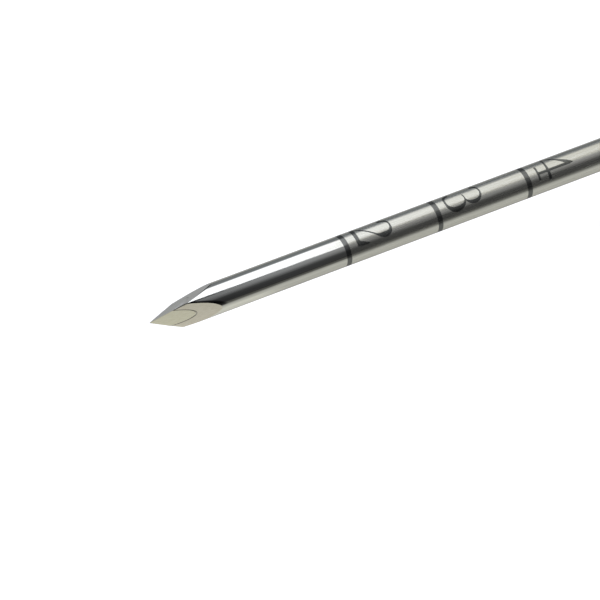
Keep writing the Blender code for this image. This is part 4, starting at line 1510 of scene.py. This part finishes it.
@dataclass
class CannulaHub:
    """The tube's hub: a barrel, a flange and the luer socket with its two lugs and notch.

    Attributes:
        profile: Its section as (station, radius).
        lug_start: Where the lugs start.
        lug_radius: How far they reach.
        lug_flat: How far from the axis the flats beside the lugs lie.
        finish: Its steel.
    """

    profile: Profile = (
        (122.0, 1.555), (122.0, 3.3), (134.03, 3.3), (134.03, 5.5), (137.03, 5.5), (137.03, 3.0),
        (148.6, 3.0), (148.6, 3.95), (150.0, 3.95), (150.0, 2.15), (142.5, 1.925), (142.5, 0.98),
        (141.3, 0.98), (141.3, 1.555),
    )
    lug_start: float = 148.5
    lug_radius: float = 3.95
    lug_flat: float = 3.2
    finish: Finish = field(default_factory=TurnedSteel)

    def shape(self) -> Surface:
        """The turned hub. On the lugs' rings the radius is at most flat / |cos t|, which leaves two flats."""
        section = eased(self.profile, 0.15, True)
        corner = math.acos(self.lug_flat / self.lug_radius)
        corners = np.array([corner, -corner, math.pi - corner, math.pi + corner])
        angles = np.sort(np.append(full_turn(TURNED_COLUMNS, 0.011), corners % (2 * math.pi)))
        flats = self.lug_flat / np.maximum(np.abs(np.cos(angles)), 1e-6)
        limit = np.where(section[:, :1] > self.lug_start, flats, math.inf)
        return Surface(around(section[:, :1], np.minimum(section[:, 1:], limit), angles), End.JOINED)

    def build(self) -> None:
        """Adds the hub in place of its CAD node, with its notch cut."""
        corners = [(148.4, -0.75, 0.12), (153.0, -0.75, 0.12), (153.0, 0.75, 0.12), (148.4, 0.75, 0.12)]
        notch = pillow(corners, [(0.0, 0.0), (8.0, 0.0)], Way.UP)
        mesh = carved("luer_hub", [self.shape()], [[notch]])
        add_piece("luer_hub", mesh, self.finish.build(), Body.HANDLE, "cannula_hub")


@dataclass
class StyletHub:
    """The plastic hub on the stylet: a male taper, a rim with a key, and the tail that the cap clamps.

    Attributes:
        profile: Its section as (station, radius), closed on the axis at both ends.
        finish: Its plastic.
    """

    profile: Profile = (
        (162.45, 0.05), (162.45, 0.96), (143.5, 0.96), (143.5, 1.895), (150.25, 2.0975), (150.25, 4.4),
        (152.05, 4.4), (152.05, 3.0), (163.45, 3.0), (163.45, 0.05),
    )
    finish: Finish = field(
        default_factory=lambda: MouldedPlastic(
            "hub_plastic", (0.66, 0.68, 0.68), (0.74, 0.75, 0.745), texture=0.006, gloss=0.27, parting=None
        )
    )

    @staticmethod
    def key() -> Surface:
        """The key that drops into the luer socket's notch: 1.2 wide, with eased corners."""
        corners = [(-0.6, 2.3, 0.1), (0.6, 2.3, 0.1), (0.6, 3.0, 0.1), (-0.6, 3.0, 0.1)]
        return pillow(corners, [(148.55, 0.08), (148.63, 0.0), (151.15, 0.0)], Way.ALONG)

    def build(self) -> None:
        """Adds the hub in place of its CAD node, with the hole for the cross pin."""
        shape = turned(eased(self.profile, 0.15, False), TURNED_COLUMNS, End.POINT)
        mesh = carved("stylet_grip", [shape], [[pin_hole()]])
        plastic = self.finish.build()
        add_piece("stylet_grip", mesh, plastic, Body.STYLET, "stylet_hub")
        add_piece("stylet_key", [self.key()], plastic, Body.STYLET)


def pin_hole() -> Surface:
    """The hole for the cross pin through the stylet's hub and the palm cap."""
    profile = [(-6.75, 0.01), (-6.75, 0.53), (6.75, 0.53), (6.75, 0.01)]
    return turned(profile, PIN_COLUMNS, End.POINT, Way.ACROSS, (PIN_STATION, 0.0, 0.0))


@dataclass
class LockCollar:
    """The fluted nut that locks the stylet's hub to the cannula's.

    Attributes:
        profile: Its section as (station, radius), outside first.
        flutes: How many flutes it has.
        flute_depth: Their depth.
        bore: The thread's outer radius.
        thread: How far the thread stands in from the bore.
        lead: How far one turn of its two-start thread moves.
        finish: Its plastic.
    """

    profile: Profile = (
        (143.8, 4.65), (143.8, 6.45), (144.6, 7.25), (153.3, 7.25), (154.1, 6.45), (154.1, 3.25),
        (152.3, 3.25), (152.3, 4.65),
    )
    flutes: int = 12
    flute_depth: float = 0.7
    bore: float = 4.65
    thread: float = 0.5
    lead: float = 5.0
    finish: Finish = field(
        default_factory=lambda: MouldedPlastic(
            "collar_plastic", (0.085, 0.145, 0.215), (0.16, 0.22, 0.28),
            texture=0.02, gloss=0.42, parting=None,
        )
    )

    def shape(self) -> Surface:
        """The collar: flutes outside, thread inside.

        Outside, radius = profile - depth × (1 - cos(flutes × t)) / 2. Inside, between two fades, radius =
        bore - thread × a smooth hump of the fraction left of (station - lead × t / turn) / (lead / 2).

        Returns:
            One surface round the bore.
        """
        angles = full_turn(self.flutes * 14)
        section = eased(self.profile, 0.3, True, 5)
        smooth = len(section)
        rows = np.linspace(150.4, 144.2, 76)
        section = np.vstack([section, np.stack([rows, np.full(len(rows), self.bore)], axis=1)])
        stations, radii = section[:, :1], section[:, 1:]
        flute = self.flute_depth * (1 - np.cos(self.flutes * angles)) / 2
        outside = np.clip((radii - 5.5) / 0.5, 0.0, 1.0)
        phase = (stations - self.lead * angles / (2 * math.pi)) / (self.lead / 2)
        hump = np.clip(1.6 - 5.2 * np.abs(phase % 1.0 - 0.5), 0.0, 1.0)
        fade = np.clip(np.minimum(stations - 144.6, 149.6 - stations) / 0.8, 0.0, 1.0)
        threaded = (np.arange(len(section)) >= smooth)[:, None]
        ridge = self.thread * fade * hump**2 * (3 - 2 * hump) * threaded
        return Surface(around(stations, radii - flute * outside - ridge, angles), End.JOINED)

    def build(self) -> None:
        """Adds the collar in place of its CAD node."""
        plastic = self.finish.build()
        add_piece("fluted_collar", [self.shape()], plastic, Body.COLLAR, "lock_collar")


@dataclass
class PalmCap:
    """The cap that the palm pushes: a flat base and a domed cover, clamped over the stylet hub's tail.

    Attributes:
        screws: The screws, whose holes are cut.
        outline: The cap's corners seen along the needle, as (y, z, radius).
        base: The base's layers as (station, inset).
        crown: The station of the dome's top.
        rise: The dome's height.
        draw: How far in it draws.
        cover_start: The cover's first station.
        finish: The cap's plastic.
    """

    screws: Sequence[CapScrew]
    outline: tuple[Place, ...] = ((-18.0, -8.0, 7.6), (18.0, -8.0, 7.6), (18.0, 8.0, 7.6), (-18.0, 8.0, 7.6))
    base: Profile = (
        (155.1, 1.9), (155.1, 1.4), (156.5, 0.0), (158.25, 0.0), (158.3, 0.2)
    )
    crown: float = 168.0
    rise: float = 8.0
    draw: float = 6.4
    cover_start: float = 158.6
    finish: Finish = field(default_factory=lambda: MouldedPlastic("cap_plastic", parting=Parting.PALM))

    def cover(self) -> Surface:
        """The domed cover: inset = draw × (1 - cos a) and station = crown - rise × (1 - sin a)."""
        angles = np.radians(np.linspace(0.0, 90.0, 25))
        stations = self.crown - self.rise * (1 - np.sin(angles))
        dome = np.stack([stations, self.draw * (1 - np.cos(angles))], axis=1)
        rim = [(self.cover_start, 0.2), (self.cover_start + 0.05, 0.05), (self.cover_start + 0.2, 0.0)]
        return pillow(self.outline, np.vstack([rim, dome, [(self.crown, self.draw + 0.4)]]), Way.ALONG)

    def build(self) -> None:
        """Adds the base and the cover in place of their CAD nodes."""
        tail = [(150.0, 0.05), (150.0, 3.6), (155.05, 3.6), (155.4, 3.25), (163.7, 3.25), (163.7, 0.05)]
        screw_holes = [screw.hole() for screw in self.screws]
        holes = [[turned(tail, ROOM_COLUMNS, End.POINT)], [pin_hole()], screw_holes]
        base = pillow(self.outline, eased(self.base, 0.3, False), Way.ALONG)
        material = self.finish.build()
        for name, surface in (("base", base), ("cover", self.cover())):
            mesh = carved(f"cap_{name}", [surface], holes)
            add_piece(f"cap_{name}", mesh, material, Body.STYLET, f"palm_cap_{name}")


def handle_screws() -> list[CapScrew]:
    """The four screws that hold the handle's halves together."""
    places = [(station, y, -8.1) for y in (-14.5, 14.5) for station in (127.3, 137.7)]
    names = [f"handle_screw_{number}" for number in range(1, len(places) + 1)]
    return [CapScrew(name, Body.HANDLE, place, Way.UP, 11.1) for name, place in zip(names, places)]


def cap_screws() -> list[CapScrew]:
    """The two screws that hold the palm cap together."""
    sides = (("left", -11.0), ("right", 11.0))
    return [CapScrew(f"cap_screw_{name}", Body.STYLET, (155.5, y, 0.0), Way.ALONG, 7.0) for name, y in sides]


def dress_nodes(frame: dict[str, Any], names: Sequence[str], material: Material) -> None:
    """Gives CAD nodes that stay a finished material.

    Args:
        frame: The loaded frame.
        names: The nodes.
        material: The material for all their slots.
    """
    for name in names:
        for slot in frame["nodes"][name].material_slots:
            slot.material = material
        log.info("%s: kept, new finish", name)


# The studio


@dataclass
class Studio:
    """The camera, the light all round and the pale floor.

    Attributes:
        eye: The camera's place in the row, in metres.
        azimuth: Its turn about the vertical, in degrees.
        elevation: How far it looks down, in degrees.
        sensor: Its sensor's width in millimetres.
        lens: Its focal length in millimetres.
        overhead: The brightness of the soft light overhead.
        far_sky: The brightness low behind the object.
        near_sky: The brightness on the camera's side, at shares of the half turn from the front horizon.
        overhead_from: The angles over which the overhead light starts.
        overhead_to: The angles over which it ends.
        back_from: The angles over which the back starts.
        palm_from: The reaches over which the light changes towards the palm cap.
        floor_colour: The floor's colour under the soft light.
        floor_glow: The floor's own faint light, which keeps it pale and even like lit paper.
    """

    eye: Place = (-0.217461, -0.262941, 0.272156)
    azimuth: float = -29.6003
    elevation: float = 41.5295
    sensor: float = 36.0
    lens: float = 256.46
    overhead: float = 2.25
    far_sky: float = 0.32
    near_sky: Profile = (
        (0.0, 0.064), (18.0 / 180.0, 0.064), (32.0 / 180.0, 0.086), (46.0 / 180.0, 0.27),
        (61.0 / 180.0, 0.43), (72.0 / 180.0, 0.46), (0.43, 0.0),
    )
    overhead_from: tuple[float, float] = (79.5, 82.5)
    overhead_to: tuple[float, float] = (145.0, 130.0)
    back_from: tuple[float, float] = (138.0, 146.0)
    palm_from: tuple[float, float] = (0.380, 0.393)
    floor_colour: Colour = (0.49, 0.49, 0.49)
    floor_glow: float = 0.70

    def build(self) -> None:
        """Adds the camera, the light, the floor and the sheet that paints shade and light into reflections.
        """
        self.add_camera()
        self.add_light()
        self.add_floor()
        self.add_reflection_sheet()
        settings = bpy.context.scene.view_settings
        settings.view_transform = "Standard"
        settings.look = "None"
        settings.exposure = 0.0
        settings.gamma = 1.0

    def add_camera(self) -> None:
        """Adds the camera at the photograph's viewing angle."""
        camera = bpy.data.cameras.new("camera")
        camera.sensor_width = self.sensor
        camera.lens = self.lens
        camera.clip_start = 0.01
        camera.dof.use_dof = False
        obj = add_object("camera", camera)
        obj.location = self.eye
        obj.rotation_euler = (math.radians(90.0 - self.elevation), 0.0, math.radians(self.azimuth))
        bpy.context.scene.camera = obj

    def add_light(self) -> None:
        """Lights the scene from all round.

        The direction's angle in the plane across the needle is 0 at the front horizon, 90 degrees
        overhead and 180 at the back horizon, and x is the direction's reach towards the palm cap. A wide
        soft light runs from 80 to 140 degrees, weaker and warmer where x is over 0.39. The front is dim,
        and the back low and even.
        """
        world = bpy.data.worlds.new("studio")
        bpy.context.scene.world = world
        graph = Graph(world)
        x, y, z = graph.parts(graph.node("ShaderNodeTexCoord").outputs["Generated"])
        angle = z.angle_to(y * -1.0) * (180.0 / math.pi)
        palmwards = x.rise(*self.palm_from)
        behind = angle.rise(*self.back_from)
        started = (angle + x.rise(0.345, 0.385) * 8.0).rise(*self.overhead_from)
        band = started * angle.rise(*self.overhead_to)
        over = band * (1.0 - palmwards * 0.615) * self.overhead
        along = x.rise(0.34, 0.375) * 0.45 + x.rise(0.40, 0.45) * 0.3 + 0.6
        shaded = x.rise(0.352, 0.25) * x.rise(-0.30, -0.10) * 0.96
        near = graph.ramp(angle * (1.0 / 180.0), self.near_sky) * along * (1.0 - shaded)
        far = behind * (1.06 - palmwards * 0.26) * self.far_sky
        towards_palm = graph.blend(angle.rise(70.0, 79.0), (0.99, 0.995, 1.045), (1.0, 0.975, 0.87))
        shade = graph.blend(palmwards, (0.97, 1.0, 1.12), towards_palm)
        shade = graph.blend(behind, shade, (0.93, 1.0, 1.13))
        light = graph.shader("Background", Color=shade, Strength=near + far + over)
        backdrop = graph.shader("Background", Color=WHITE, Strength=1.0)
        seen = graph.node("ShaderNodeLightPath").outputs["Is Camera Ray"]
        graph.end(graph.mixed(seen, light, backdrop))

    def add_reflection_sheet(self) -> None:
        """Adds a sheet over the floor which only reflections see, with painted shade and painted light.

        It dims the reflected floor a little all over. Its painted shade deepens with the distance y in front
        of
        the needle: clear at 9 mm, dark by 34 mm, and black ahead of the point. Close under the needle, and
        near
        the point, it glows: painted light where the needle shades the floor.
        """
        material = bpy.data.materials.new("painted_reflection_sheet")
        graph = Graph(material)
        graph.tree.nodes.remove(graph.tree.nodes["Principled BSDF"])
        x, y, _ = graph.parts(graph.node("ShaderNodeTexCoord").outputs["Object"])
        beside_handle = x.rise(0.0, 0.03) * y.rise(-0.09, -0.06)
        # Painted shade in reflections: how far the sheet darkens the reflected floor.
        share = y.rise(-0.009, -0.034) * (0.82 - beside_handle * 0.6) + y.rise(-0.05, -0.12) * 0.12
        share = share.larger(y.rise(-0.017, -0.024) * x.rise(-0.066, -0.070))
        clear = graph.shader("BsdfTransparent", Color=(0.70, 0.70, 0.67))
        dark = graph.shader("Emission", Color=(0.0, 0.0, 0.0))
        # Painted light: the reflected floor glows just under the needle, where the needle's shadow falls.
        under = y.rise(-0.006, -0.002) * y.rise(0.002, 0.0) * 0.15
        # Painted light: the reflected floor also glows near the point.
        tip = x.rise(-0.0665, -0.0705) * y.rise(-0.0115, -0.0085) * y.rise(0.006, 0.002) * 0.3
        painted_glow = graph.shader("Emission", Color=(1.0, 1.0, 0.95), Strength=under + tip)
        veil = graph.mixed(share, clear, dark)
        graph.end(graph.node("ShaderNodeAddShader", None, {0: veil, 1: painted_glow}).outputs[0])
        reflection_sheet = self.add_sheet("painted_reflection_sheet", REFLECTION_SHEET_HEIGHT, material)
        reflection_sheet.visible_camera = False
        reflection_sheet.visible_diffuse = False
        reflection_sheet.visible_shadow = False

    def add_floor(self) -> None:
        """Adds the pale matt floor that the handle rests on."""
        material = bpy.data.materials.new("floor")
        graph = Graph(material)
        graph.feed(Base_Color=self.floor_colour, Roughness=0.9, Specular_IOR_Level=0.1)
        graph.feed(Emission_Color=WHITE, Emission_Strength=self.floor_glow)
        self.add_sheet("floor", 0.0, material)

    @staticmethod
    def add_sheet(name: str, height: float, material: Material) -> bpy.types.Object:
        """Adds a square sheet that is part of the stage.

        Args:
            name: The sheet's name.
            height: Its height over the ground, in metres.
            material: Its material.

        Returns:
            The sheet.
        """
        outline = ((-1, -1), (1, -1), (1, 1), (-1, 1))
        corners = [(x * SHEET_REACH, y * SHEET_REACH, height) for x, y in outline]
        mesh = bpy.data.meshes.new(name)
        mesh.from_pydata(corners, [], [(0, 1, 2, 3)])
        mesh.materials.append(material)
        sheet = add_object(name, mesh)
        return sheet


def main() -> None:
    """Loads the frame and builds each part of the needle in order."""
    logging.basicConfig(level=logging.INFO, format="%(name)s: %(message)s")
    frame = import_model()
    Studio().build()
    Cannula().build()
    Stylet().build()
    NoseSleeve().build()
    CannulaHub().build()
    HandleShells(handle_screws()).build()
    GripSleeves().build()
    StyletHub().build()
    LockCollar().build()
    PalmCap(cap_screws()).build()
    screw_steel = ScrewSteel().build()
    for screw in (*handle_screws(), *cap_screws()):
        screw.build(screw_steel)
    dress_nodes(frame, ("crossbar", "stylet_pin"), TurnedSteel("plain_bar_steel").build())
    log.info("sizes written")


if __name__ == "__main__":
    main()
